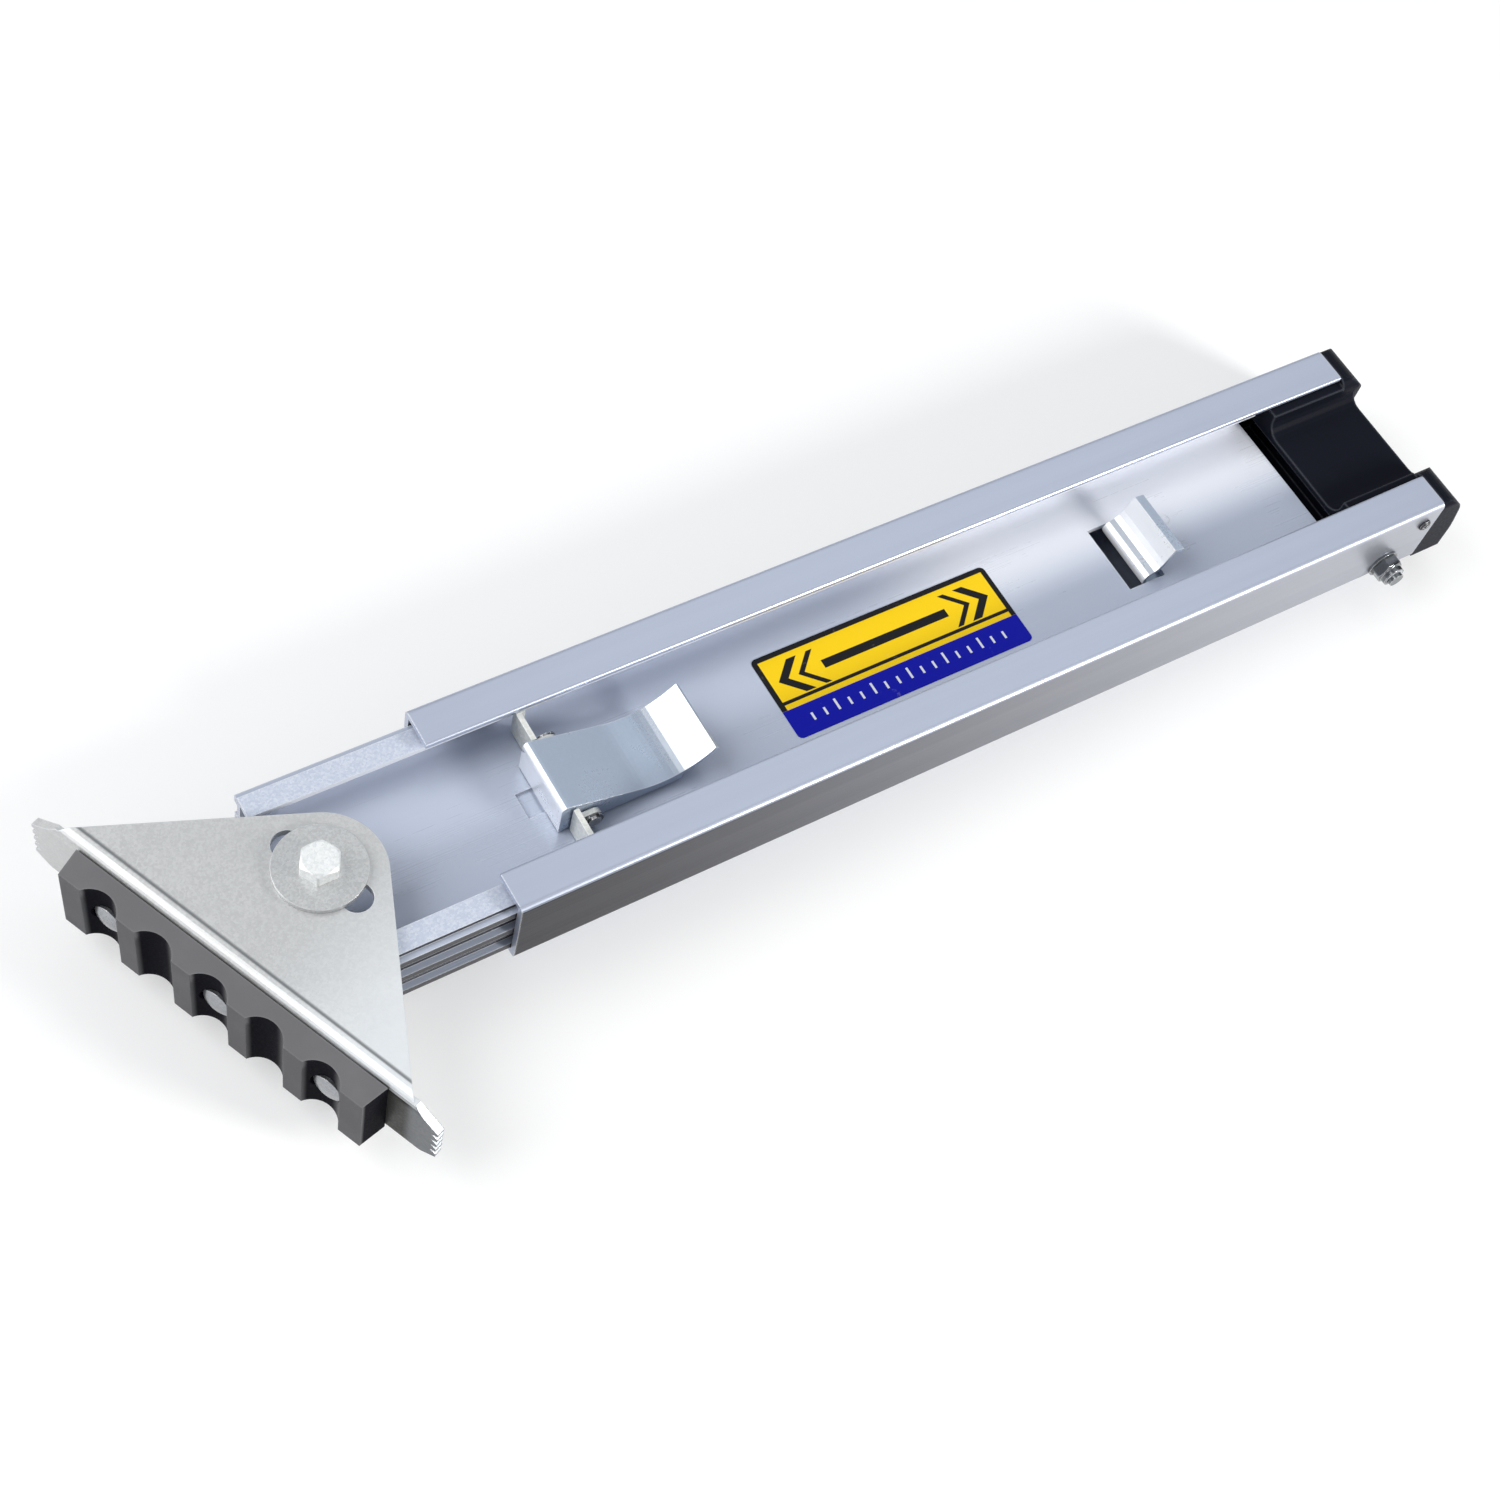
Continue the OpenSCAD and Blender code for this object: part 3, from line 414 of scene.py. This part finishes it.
def rubber_finish(colours, ahead, along, face):
    """Dull rubber, with painted shade inside the flutes behind the pad's face, except on their sides turned
    away from the near end
    """
    def build(s):
        where = s.place()
        grain = s.noise(where, 1500.0, 3.0, 0.6)
        bloom = s.span(s.noise(where, 60.0, 4.0), 0.4, 0.75)
        edges = use(s, edge_mask(), Radius=0.0010)
        depth = s.dot(where, ahead)
        sideways = s.dot(s.add("ShaderNodeNewGeometry").outputs["Normal"], along)
        behind = s.span(depth, face + 0.15 * MM, face + 1.6 * MM)
        upright = s.span(s.math("ABSOLUTE", s.normal()["Z"]), 0.5, 0.9, 1.0, 0.0)
        # Painted shade inside the flutes, except on their sides turned away from the near end
        flute_shade = s.times(s.times(behind, upright), s.span(sideways, -0.75, -0.10))
        base = s.mix(s.times(bloom, 0.30), colours.rubber, (0.21, 0.21, 0.22))
        # Edge wear and a painted highlight along edges
        base = s.mix(s.times(edges["Mask"], 0.4), base, (0.30, 0.30, 0.31))
        base = s.mix(flute_shade, base, colours.flute_shade)
        return {"Base Color": base, "Roughness": s.span(grain, 0.2, 0.8, 0.50, 0.70),
                "Specular IOR Level": 0.02,
                "Normal": bump(s, grain, 0.35, 0.00012, 0.0006)}
    return finish("Pad Rubber", build)


def plastic_finish(props, colours):
    def build(s):
        where = s.place()
        texture = s.noise(where, 900.0, 2.0, 0.5)
        dust = s.span(s.noise(where, 38.0, 5.0, 0.6), 0.5, 0.8)
        edges = use(s, edge_mask(), Radius=0.0016)
        base = s.mix(s.times(dust, 0.15), colours.plastic, (0.022, 0.024, 0.034))
        # Edge wear and a painted highlight along edges
        base = s.mix(s.times(edges["Mask"], 0.30), base, (0.22, 0.23, 0.27))
        return {"Base Color": base, "Roughness": s.span(texture, 0.2, 0.8, 0.30, 0.44),
                "Specular IOR Level": 0.03,
                "Normal": bump(s, texture, 0.25, 0.00010, 0.0008)}
    return finish("Moulded Plastic", build)


def nylon_finish():
    def build(s):
        grain = s.noise(s.place(), 1200.0, 2.0)
        base = s.mix(s.span(grain, 0.3, 0.7), (0.50, 0.52, 0.56), (0.62, 0.64, 0.67))
        return {"Base Color": base, "Roughness": s.span(grain, 0.2, 0.8, 0.35, 0.5),
                "Normal": bump(s, grain, 0.2, 0.00005)}
    return finish("Nylon Collar", build)


def label_finish(colours, low, high):
    """A yellow panel with plain arrows and ticks over a blue band, drawn on Object coordinates"""
    def build(s):
        size = high - low
        centre = (low + high) / 2
        x, y = s.axes(s.place(offset=(-centre.x, -centre.y, 0.0)))[:2]
        half_x, half_y = size.x / 2, size.y / 2

        def band(value, start, end, soft=0.00008):
            rise = s.span(value, start - soft, start + soft)
            fall = s.span(value, end - soft, end + soft, 1.0, 0.0)
            return s.times(rise, fall)

        def off_middle(per_metre):
            """0 in the middle of each cell of a row of equal cells along x, 0.5 between two of them"""
            cells = s.plus(s.times(x, per_metre), 50.5)
            return s.math("ABSOLUTE", s.math("SUBTRACT", s.math("FRACT", cells), 0.5))

        blue = band(y, -half_y - 1.0 * MM, -half_y + size.y * 0.34)
        stripe = band(y, -half_y + size.y * 0.40, -half_y + size.y * 0.44)
        inner_x, inner_y = half_x - LABEL_BORDER, half_y - LABEL_BORDER
        border = s.math("SUBTRACT", 1.0, s.times(band(x, -inner_x, inner_x), band(y, -inner_y, inner_y)))
        # Ticks, every 5 mm along the blue band, each third one longer
        cell, tall = off_middle(200.0), off_middle(66.667)
        short_ticks = s.times(s.span(cell, 0.07, 0.10, 1.0, 0.0), band(y, TICK_FOOT, -9.5 * MM))
        tall_ticks = s.times(s.span(tall, 0.024, 0.034, 1.0, 0.0), band(y, TICK_FOOT, -8.0 * MM))
        ticks = s.times(s.larger(short_ticks, tall_ticks), band(x, -half_x + 6.0 * MM, half_x - 6.0 * MM))
        # Two chevrons at each end that point along the leg, and a bar between them
        across = s.math("ABSOLUTE", s.math("SUBTRACT", y, ARROW_MIDDLE))
        right = s.plus(x, across)
        left = s.math("SUBTRACT", across, x)
        inside = s.span(across, 7.0 * MM, 7.2 * MM, 1.0, 0.0)
        chevrons = [s.larger(band(way, *BOLD_CHEVRON), band(way, *THIN_CHEVRON)) for way in (right, left)]
        arrows = s.times(s.larger(*chevrons), inside)
        bar = s.times(band(x, -26.0 * MM, 26.0 * MM), s.span(across, 1.6 * MM, 1.8 * MM, 1.0, 0.0))
        ink = s.larger(arrows, bar)
        base = s.mix(ink, colours.label_panel, LABEL_INK)
        base = s.mix(stripe, base, LABEL_INK)
        base = s.mix(blue, base, colours.label_band)
        base = s.mix(ticks, base, (0.80, 0.82, 0.85))
        base = s.mix(s.times(border, s.math("SUBTRACT", 1.0, blue)), base, LABEL_INK)
        worn = s.span(s.noise(s.place(), 140.0, 5.0, 0.7), 0.62, 0.80)
        base = s.mix(s.times(worn, 0.18), base, (0.70, 0.70, 0.70))
        film = s.noise(s.place(), 420.0, 2.0)
        return {"Base Color": base, "Roughness": s.span(film, 0.3, 0.7, 0.36, 0.46),
                "Specular IOR Level": 0.10,
                "Normal": bump(s, film, 0.08, 0.00005)}
    return finish("Printed Label", build)


def wear(node, material):
    """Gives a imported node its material"""
    target = NODES[node]
    target.data.materials.clear()
    target.data.materials.append(material)
    for polygon in target.data.polygons:
        polygon.material_index = 0


def new_piece(name, shape, material, body):
    """Makes an object from a bmesh whose place is in its mesh, and lets it move with a body"""
    bmesh.ops.remove_doubles(shape, verts=shape.verts, dist=1e-7)
    bmesh.ops.recalc_face_normals(shape, faces=shape.faces)
    mesh = bpy.data.meshes.new(name)
    shape.to_mesh(mesh)
    shape.free()
    mesh.materials.append(material)
    piece = bpy.data.objects.new(name, mesh)
    bpy.context.scene.collection.objects.link(piece)
    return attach(piece, body)


def turned_ring(profile, centre, axis, steps):
    """Spins a closed profile of (radius, height) points once round an axis through centre"""
    shape = bmesh.new()
    axis = Vector(axis).normalized()
    out = axis.orthogonal().normalized()
    ring = [shape.verts.new(Vector(centre) + out * r + axis * h) for r, h in profile]
    edges = [shape.edges.new((ring[i], ring[(i + 1) % len(ring)])) for i in range(len(ring))]
    bmesh.ops.spin(shape, geom=ring + edges, cent=centre, axis=axis, angle=math.tau, steps=steps,
                   use_merge=True)
    return shape


def thread_coil(centre, axis, radius, reach, props):
    """A raised screw thread: a small triangle that is spun and climbs along the axis"""
    shape = bmesh.new()
    axis = Vector(axis).normalized()
    out = axis.orthogonal().normalized()
    pitch, depth = props.thread_pitch, props.thread_depth
    inner = radius - 0.15 * MM
    outer = radius + depth * 0.22
    profile = ((inner, 0.0), (outer, pitch * 0.44), (inner, pitch * 0.88))
    ring = [shape.verts.new(Vector(centre) + out * r + axis * h) for r, h in profile]
    face = shape.faces.new(ring)
    turns = (reach - pitch) / pitch
    bmesh.ops.spin(shape, geom=[face], cent=centre, axis=axis, angle=math.tau * turns,
                   steps=int(props.thread_sides * turns), dvec=axis * pitch / props.thread_sides)
    return shape


class LEVELLER_OT_channel(bpy.types.Operator):
    """Satin aluminium on the outer channel and its rivets"""
    bl_idname = "leveller.channel"
    bl_label = "Outer channel"

    def execute(self, context):
        scene = context.scene
        metal = channel_finish(scene.leveller_trim, scene.leveller_colours)
        for node in ("outer_channel", "hanger_rivets"):
            wear(node, metal)
        return {"FINISHED"}


class LEVELLER_OT_cap(bpy.types.Operator):
    """Moulded plastic on the end cap, dark steel on its screws"""
    bl_idname = "leveller.cap"
    bl_label = "End cap"

    def execute(self, context):
        scene = context.scene
        wear("end_cap", plastic_finish(scene.leveller_trim, scene.leveller_colours))
        wear("cap_screws", plated_finish("Dark Screws", scene.leveller_trim, (0.05, 0.05, 0.055),
                                         0.30, 0.45, 1400.0))
        return {"FINISHED"}


class LEVELLER_OT_anchor(bpy.types.Operator):
    """Plated anchor bolt with its thread, washers and lock nut collar"""
    bl_idname = "leveller.anchor"
    bl_label = "Anchor bolt"

    def execute(self, context):
        scene = context.scene
        trim = scene.leveller_trim
        metal = plated_finish("Plated Fasteners", trim, (0.20, 0.21, 0.22), 0.10, 0.20, 1500.0, metal=0.95)
        for node in ("anchor_bolt", "anchor_washers", "anchor_nut"):
            wear(node, metal)
        bolt_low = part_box("anchor_bolt")[0]
        nut_low, nut_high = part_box("anchor_nut")
        centre = (nut_low + nut_high) / 2
        tip = Vector((centre.x, bolt_low.y + 0.2 * MM, centre.z))
        coil = thread_coil(tip, (0, 1, 0), 3.0 * MM, nut_low.y - bolt_low.y - 0.2 * MM, trim)
        new_piece("anchor_thread", coil, metal, "outer")
        inner, outer = trim.collar_in, trim.collar_out
        sunk, proud = -0.1 * MM, 0.3 * MM
        ring = [(inner, sunk), (outer, sunk), (outer, proud), (inner, proud)]
        collar = turned_ring(ring, Vector((centre.x, nut_low.y, centre.z)), (0, 1, 0), 40)
        new_piece("anchor_collar", collar, nylon_finish(), "outer")
        return {"FINISHED"}


class LEVELLER_OT_lever(bpy.types.Operator):
    """Bright plating on the lever, its hangers, pin and spring"""
    bl_idname = "leveller.lever"
    bl_label = "Release lever"

    def execute(self, context):
        scene = context.scene
        trim, colours = scene.leveller_trim, scene.leveller_colours
        wear("release_lever", plated_finish("Lever Plating", trim, tuple(colours.lever), 0.24, 0.30, 1300.0,
                                            metal=0.55, cloud=0.06, relief=0.0, spread=0.02, painted_highlight=0.95,
                                            scratched=0.0))
        hanger = plated_finish("Hanger Plating", trim, (0.78, 0.79, 0.75), 0.26, 0.42, 1100.0, metal=0.35)
        for node in ("hanger_near", "hanger_far"):
            wear(node, hanger)
        wear("lever_pin", plated_finish("Pin Steel", trim, (0.42, 0.42, 0.43), 0.20, 0.32, 1700.0))
        spring = plated_finish("Spring Steel", trim, (0.14, 0.14, 0.15), 0.28, 0.40, 1700.0)
        for node in ("lever_spring", "pin_clips"):
            wear(node, spring)
        return {"FINISHED"}


class LEVELLER_OT_leg(bpy.types.Operator):
    """Bright extruded aluminium on the leg"""
    bl_idname = "leveller.leg"
    bl_label = "Leg"

    def execute(self, context):
        scene = context.scene
        metal = leg_finish(scene.leveller_trim, scene.leveller_colours)
        for node in ("leg_channel", "clip_rivets"):
            wear(node, metal)
        return {"FINISHED"}


class LEVELLER_OT_label(bpy.types.Operator):
    """Plain printed label without words"""
    bl_idname = "leveller.label"
    bl_label = "Label"

    def execute(self, context):
        wear("label_plate", label_finish(context.scene.leveller_colours, *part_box("label_plate")))
        return {"FINISHED"}


class LEVELLER_OT_clip(bpy.types.Operator):
    """Bright plating on the stop clip"""
    bl_idname = "leveller.clip"
    bl_label = "Stop clip"

    def execute(self, context):
        scene = context.scene
        tint = tuple(scene.leveller_colours.lever)
        wear("stop_clip", plated_finish("Clip Plating", scene.leveller_trim, tint, 0.24, 0.30, 1000.0,
                                        metal=0.35, cloud=0.08, relief=0.0, spread=0.03, painted_highlight=1.0,
                                        scratched=0.1))
        return {"FINISHED"}


class LEVELLER_OT_pivot(bpy.types.Operator):
    """Plated pivot bolt with its thread, large washers, spacer, nut and bushings"""
    bl_idname = "leveller.pivot"
    bl_label = "Foot pivot"

    def execute(self, context):
        scene = context.scene
        trim, colours = scene.leveller_trim, scene.leveller_colours
        metal = plated_finish("Pivot Fasteners", trim, (0.90, 0.93, 0.93), 0.26, 0.42, 1300.0, metal=0.45)
        for node in ("pivot_bolt", "pivot_nut", "pivot_spacer", "slot_bushings"):
            wear(node, metal)
        paler = tuple(min(1.0, c * 1.06) for c in colours.plating)
        wear("pivot_washers", plated_finish("Washer Plating", trim, paler, 0.30, 0.46, 1600.0))
        bolt_low, bolt_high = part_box("pivot_bolt")
        nut_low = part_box("pivot_nut")[0]
        centre = (bolt_low + bolt_high) / 2
        tip = Vector((centre.x, centre.y, bolt_low.z + 0.02 * MM))
        coil = thread_coil(tip, (0, 0, 1), 4.0 * MM, max(nut_low.z - bolt_low.z, 1.4 * MM), trim)
        new_piece("pivot_thread", coil, metal, "leg")
        return {"FINISHED"}


def foot_finish(props, tint, ahead, along):
    """Zinc plating with painted light towards the near corner, painted shade on the near tab and a painted
    shaded line in the bend's crease

    The flange's face has painted shade beside the pad, with a lighter painted reflection towards the near
    corner. ahead and along are the foot's own directions.
    """
    def build(s):
        where = s.place()
        speckle = use(s, plating_speckle(), Scale=1500.0)
        marks = use(s, handling_marks(), Amount=1.0)
        edges = use(s, edge_mask(), Radius=0.0009)

        near = s.dot(where, along)
        front = s.dot(s.add("ShaderNodeNewGeometry").outputs["Normal"], ahead)
        corner = max(vertex.co.dot(along) for vertex in NODES["foot_bracket"].data.vertices)
        front_edge = min(vertex.co.dot(ahead) for vertex in NODES["foot_bracket"].data.vertices)
        base = s.mix(s.span(speckle["Speckle"], 0.25, 0.8),
                     [c * 0.94 for c in tint], [c * 1.07 for c in tint])
        base = s.mix(s.times(speckle["Clouds"], 0.12), base, CLOUD_TONE, "MULTIPLY")
        # Painted light towards the near corner
        base = s.mix(s.span(near, corner - PALE_FROM, corner - PALE_TO, 0.0, 0.9), base, (0.90, 0.93, 0.95))
        inset = s.math("SUBTRACT", s.dot(where, ahead), front_edge)
        # Painted shade: a dark line in the crease behind the bend
        crease = s.times(s.span(inset, *CREASE_IN), s.span(inset, *CREASE_OUT, 1.0, 0.0))
        base = s.mix(s.times(crease, 0.8), base, (0.12, 0.13, 0.14))
        base = s.mix(s.times(marks["Scratches"], 0.5), base, (0.82, 0.83, 0.84))
        # Edge wear and a painted highlight along edges
        base = s.mix(s.times(edges["Mask"], 0.55), base, (0.80, 0.84, 0.88))
        # Painted shade on the flange's face beside the pad
        flange_shade = s.times(s.span(front, -0.80, -0.95),
                        s.span(near, corner - FLANGE_SHADE_FROM, corner - FLANGE_SHADE_TO))
        # Painted shade on the near tab
        tab = s.span(near, corner - TAB_FROM, corner - TAB_TO, 0.0, 0.85)
        base = s.mix(tab, base, (0.26, 0.28, 0.30))
        # Tone of that painted shade, lighter towards the near corner as a painted reflection
        flange_shade_tone = s.mix(s.span(near, corner - SHEEN_FROM, corner - SHEEN_TO),
                        (0.016, 0.016, 0.013), (0.15, 0.16, 0.17))
        base = s.mix(flange_shade, base, flange_shade_tone)
        rough = s.plus(s.span(speckle["Speckle"], 0.0, 1.0, 0.34, 0.50),
                       s.times(speckle["Clouds"], 0.06))
        return {"Base Color": base, "Metallic": 0.66, "Roughness": rough,
                "Normal": bump(s, speckle["Speckle"], 0.16, 0.00005, props.edge_radius)}
    return finish("Foot Plating", build)


class LEVELLER_OT_foot(bpy.types.Operator):
    """Zinc plating on the foot bracket"""
    bl_idname = "leveller.foot"
    bl_label = "Foot bracket"

    def execute(self, context):
        scene = context.scene
        ahead, along = pad_face()[:2]
        tint = tuple(scene.leveller_colours.plating)
        wear("foot_bracket", foot_finish(scene.leveller_trim, tint, ahead, along))
        return {"FINISHED"}


def pad_face():
    """The parked foot's own X, the direction of its near end, and how far along X the pad's face lies"""
    joints = frame["record"]["behaviour"]["joints"]
    slot = next(joint for joint in joints if joint["name"] == "foot_shift")["axis"]
    ahead = Vector((slot[1], -slot[0], 0.0)).normalized()
    return ahead, -Vector(slot), min(vertex.co.dot(ahead) for vertex in NODES["rubber_pad"].data.vertices)


class LEVELLER_OT_pad(bpy.types.Operator):
    """Rubber on the pad, plated rivets and washers"""
    bl_idname = "leveller.pad"
    bl_label = "Rubber pad"

    def execute(self, context):
        scene = context.scene
        wear("rubber_pad", rubber_finish(scene.leveller_colours, *pad_face()))
        metal = plated_finish("Rivet Plating", scene.leveller_trim, (0.36, 0.37, 0.39), 0.22, 0.34, 1400.0)
        for node in ("pad_rivets", "pad_washers"):
            wear(node, metal)
        return {"FINISHED"}


def lamp(name, place, aim, size, power, tint):
    data = bpy.data.lights.new(name, "AREA")
    data.shape = "DISK"
    data.size = size
    data.energy = power
    data.color = tint
    light = bpy.data.objects.new(name, data)
    turn = (Vector(aim) - Vector(place)).to_track_quat("-Z", "Y")
    light.matrix_world = Matrix.Translation(place) @ turn.to_matrix().to_4x4()
    bpy.context.scene.collection.objects.link(light)
    return light


class LEVELLER_OT_studio(bpy.types.Operator):
    """Pale floor, white backdrop, soft lamps and the camera"""
    bl_idname = "leveller.studio"
    bl_label = "Studio"

    def execute(self, context):
        scene = context.scene
        studio = scene.leveller_studio
        self.floor(studio)
        self.world(scene, studio)
        for name, place, size, tint, power in LAMPS:
            lamp(name, place, LAMP_AIM, size, getattr(studio, power), tint)
        self.camera(scene)
        return {"FINISHED"}

    def floor(self, studio):
        shape = bmesh.new()
        bmesh.ops.create_grid(shape, x_segments=1, y_segments=1, size=FLOOR_HALF)
        height = CAD_BOX[0][2] - FLOOR_BELOW
        bmesh.ops.translate(shape, verts=shape.verts, vec=(0.0, 0.0, height))
        mesh = bpy.data.meshes.new("floor")
        shape.to_mesh(mesh)
        shape.free()
        material = bpy.data.materials.new("Pale Floor")
        material.use_nodes = True
        tree = material.node_tree
        tree.nodes.clear()
        s = Shader(tree)
        matte = s.add("ShaderNodeBsdfDiffuse", inputs={"Color": (*studio.floor_shade, 1.0)})
        white = s.add("ShaderNodeEmission", inputs={"Color": (1.0, 1.0, 1.0, 1.0), "Strength": FLOOR_GLOW})
        rays = s.add("ShaderNodeLightPath").outputs
        seen = s.larger(s.larger(rays["Is Camera Ray"], rays["Is Glossy Ray"]),
                        rays["Is Transmission Ray"])
        glow = s.add("ShaderNodeMixShader", inputs={0: seen})
        both = s.add("ShaderNodeAddShader", inputs={0: matte.outputs[0], 1: white.outputs[0]})
        tree.links.new(matte.outputs[0], glow.inputs[1])
        tree.links.new(both.outputs[0], glow.inputs[2])
        s.add("ShaderNodeOutputMaterial", inputs={"Surface": glow.outputs[0]})
        mesh.materials.append(material)
        ground = bpy.data.objects.new("floor", mesh)
        bpy.context.scene.collection.objects.link(ground)

    def world(self, scene, studio):
        world = bpy.data.worlds.new("Studio World")
        scene.world = world
        world.use_nodes = True
        tree = world.node_tree
        tree.nodes.clear()
        s = Shader(tree)
        soft = s.add("ShaderNodeBackground", inputs={"Color": (0.94, 0.97, 1.0, 1.0),
                                                     "Strength": studio.world_level})
        white = s.add("ShaderNodeBackground", inputs={"Color": (1.0, 1.0, 1.0, 1.0), "Strength": 1.0})
        rays = s.add("ShaderNodeLightPath").outputs
        seen = s.larger(rays["Is Camera Ray"], rays["Is Transmission Ray"])
        glow = s.add("ShaderNodeMixShader", inputs={0: seen})
        tree.links.new(soft.outputs[0], glow.inputs[1])
        tree.links.new(white.outputs[0], glow.inputs[2])
        s.add("ShaderNodeOutputWorld", inputs={"Surface": glow.outputs[0]})

    def camera(self, scene):
        right, up = Vector(CAMERA_RIGHT).normalized(), Vector(CAMERA_UP).normalized()
        back = right.cross(up).normalized()
        up = back.cross(right)
        data = bpy.data.cameras.new("Camera")
        data.lens = CAMERA_LENS
        data.sensor_width = 36.0
        data.clip_start = 0.01
        camera = bpy.data.objects.new("Camera", data)
        turn = Matrix((right, up, back)).transposed().to_4x4()
        camera.matrix_world = Matrix.Translation(Vector(CAMERA_AT) * MM) @ turn
        scene.collection.objects.link(camera)
        scene.camera = camera
        scene.view_settings.view_transform = "Standard"


PIECES = (LEVELLER_OT_channel, LEVELLER_OT_cap, LEVELLER_OT_anchor, LEVELLER_OT_lever, LEVELLER_OT_leg,
          LEVELLER_OT_label, LEVELLER_OT_clip, LEVELLER_OT_pivot, LEVELLER_OT_foot, LEVELLER_OT_pad,
          LEVELLER_OT_studio)


class LEVELLER_PT_panel(bpy.types.Panel):
    """Sidebar panel with the finishes and the operators"""
    bl_idname = "LEVELLER_PT_panel"
    bl_label = "Ladder Leveller"
    bl_space_type = "VIEW_3D"
    bl_region_type = "UI"
    bl_category = "Leveller"

    def draw(self, context):
        layout = self.layout
        for attribute, _ in GROUPS:
            group = getattr(context.scene, attribute)
            box = layout.box()
            for name in group.bl_rna.properties.keys():
                if name not in ("rna_type", "name"):
                    box.prop(group, name)
        for operator in PIECES:
            layout.operator(operator.bl_idname)


GROUPS = (("leveller_colours", LevellerColours), ("leveller_trim", LevellerTrim),
          ("leveller_studio", LevellerStudio))


def register():
    for name, group in GROUPS:
        bpy.utils.register_class(group)
        setattr(bpy.types.Scene, name, PointerProperty(type=group))
    for item in (*PIECES, LEVELLER_PT_panel):
        bpy.utils.register_class(item)


def unregister():
    for item in reversed((*PIECES, LEVELLER_PT_panel)):
        bpy.utils.unregister_class(item)
    for name, group in reversed(GROUPS):
        delattr(bpy.types.Scene, name)
        bpy.utils.unregister_class(group)


def main():
    register()
    for operator in PIECES:
        family, name = operator.bl_idname.split(".")
        getattr(getattr(bpy.ops, family), name)()


if __name__ == "__main__":
    main()
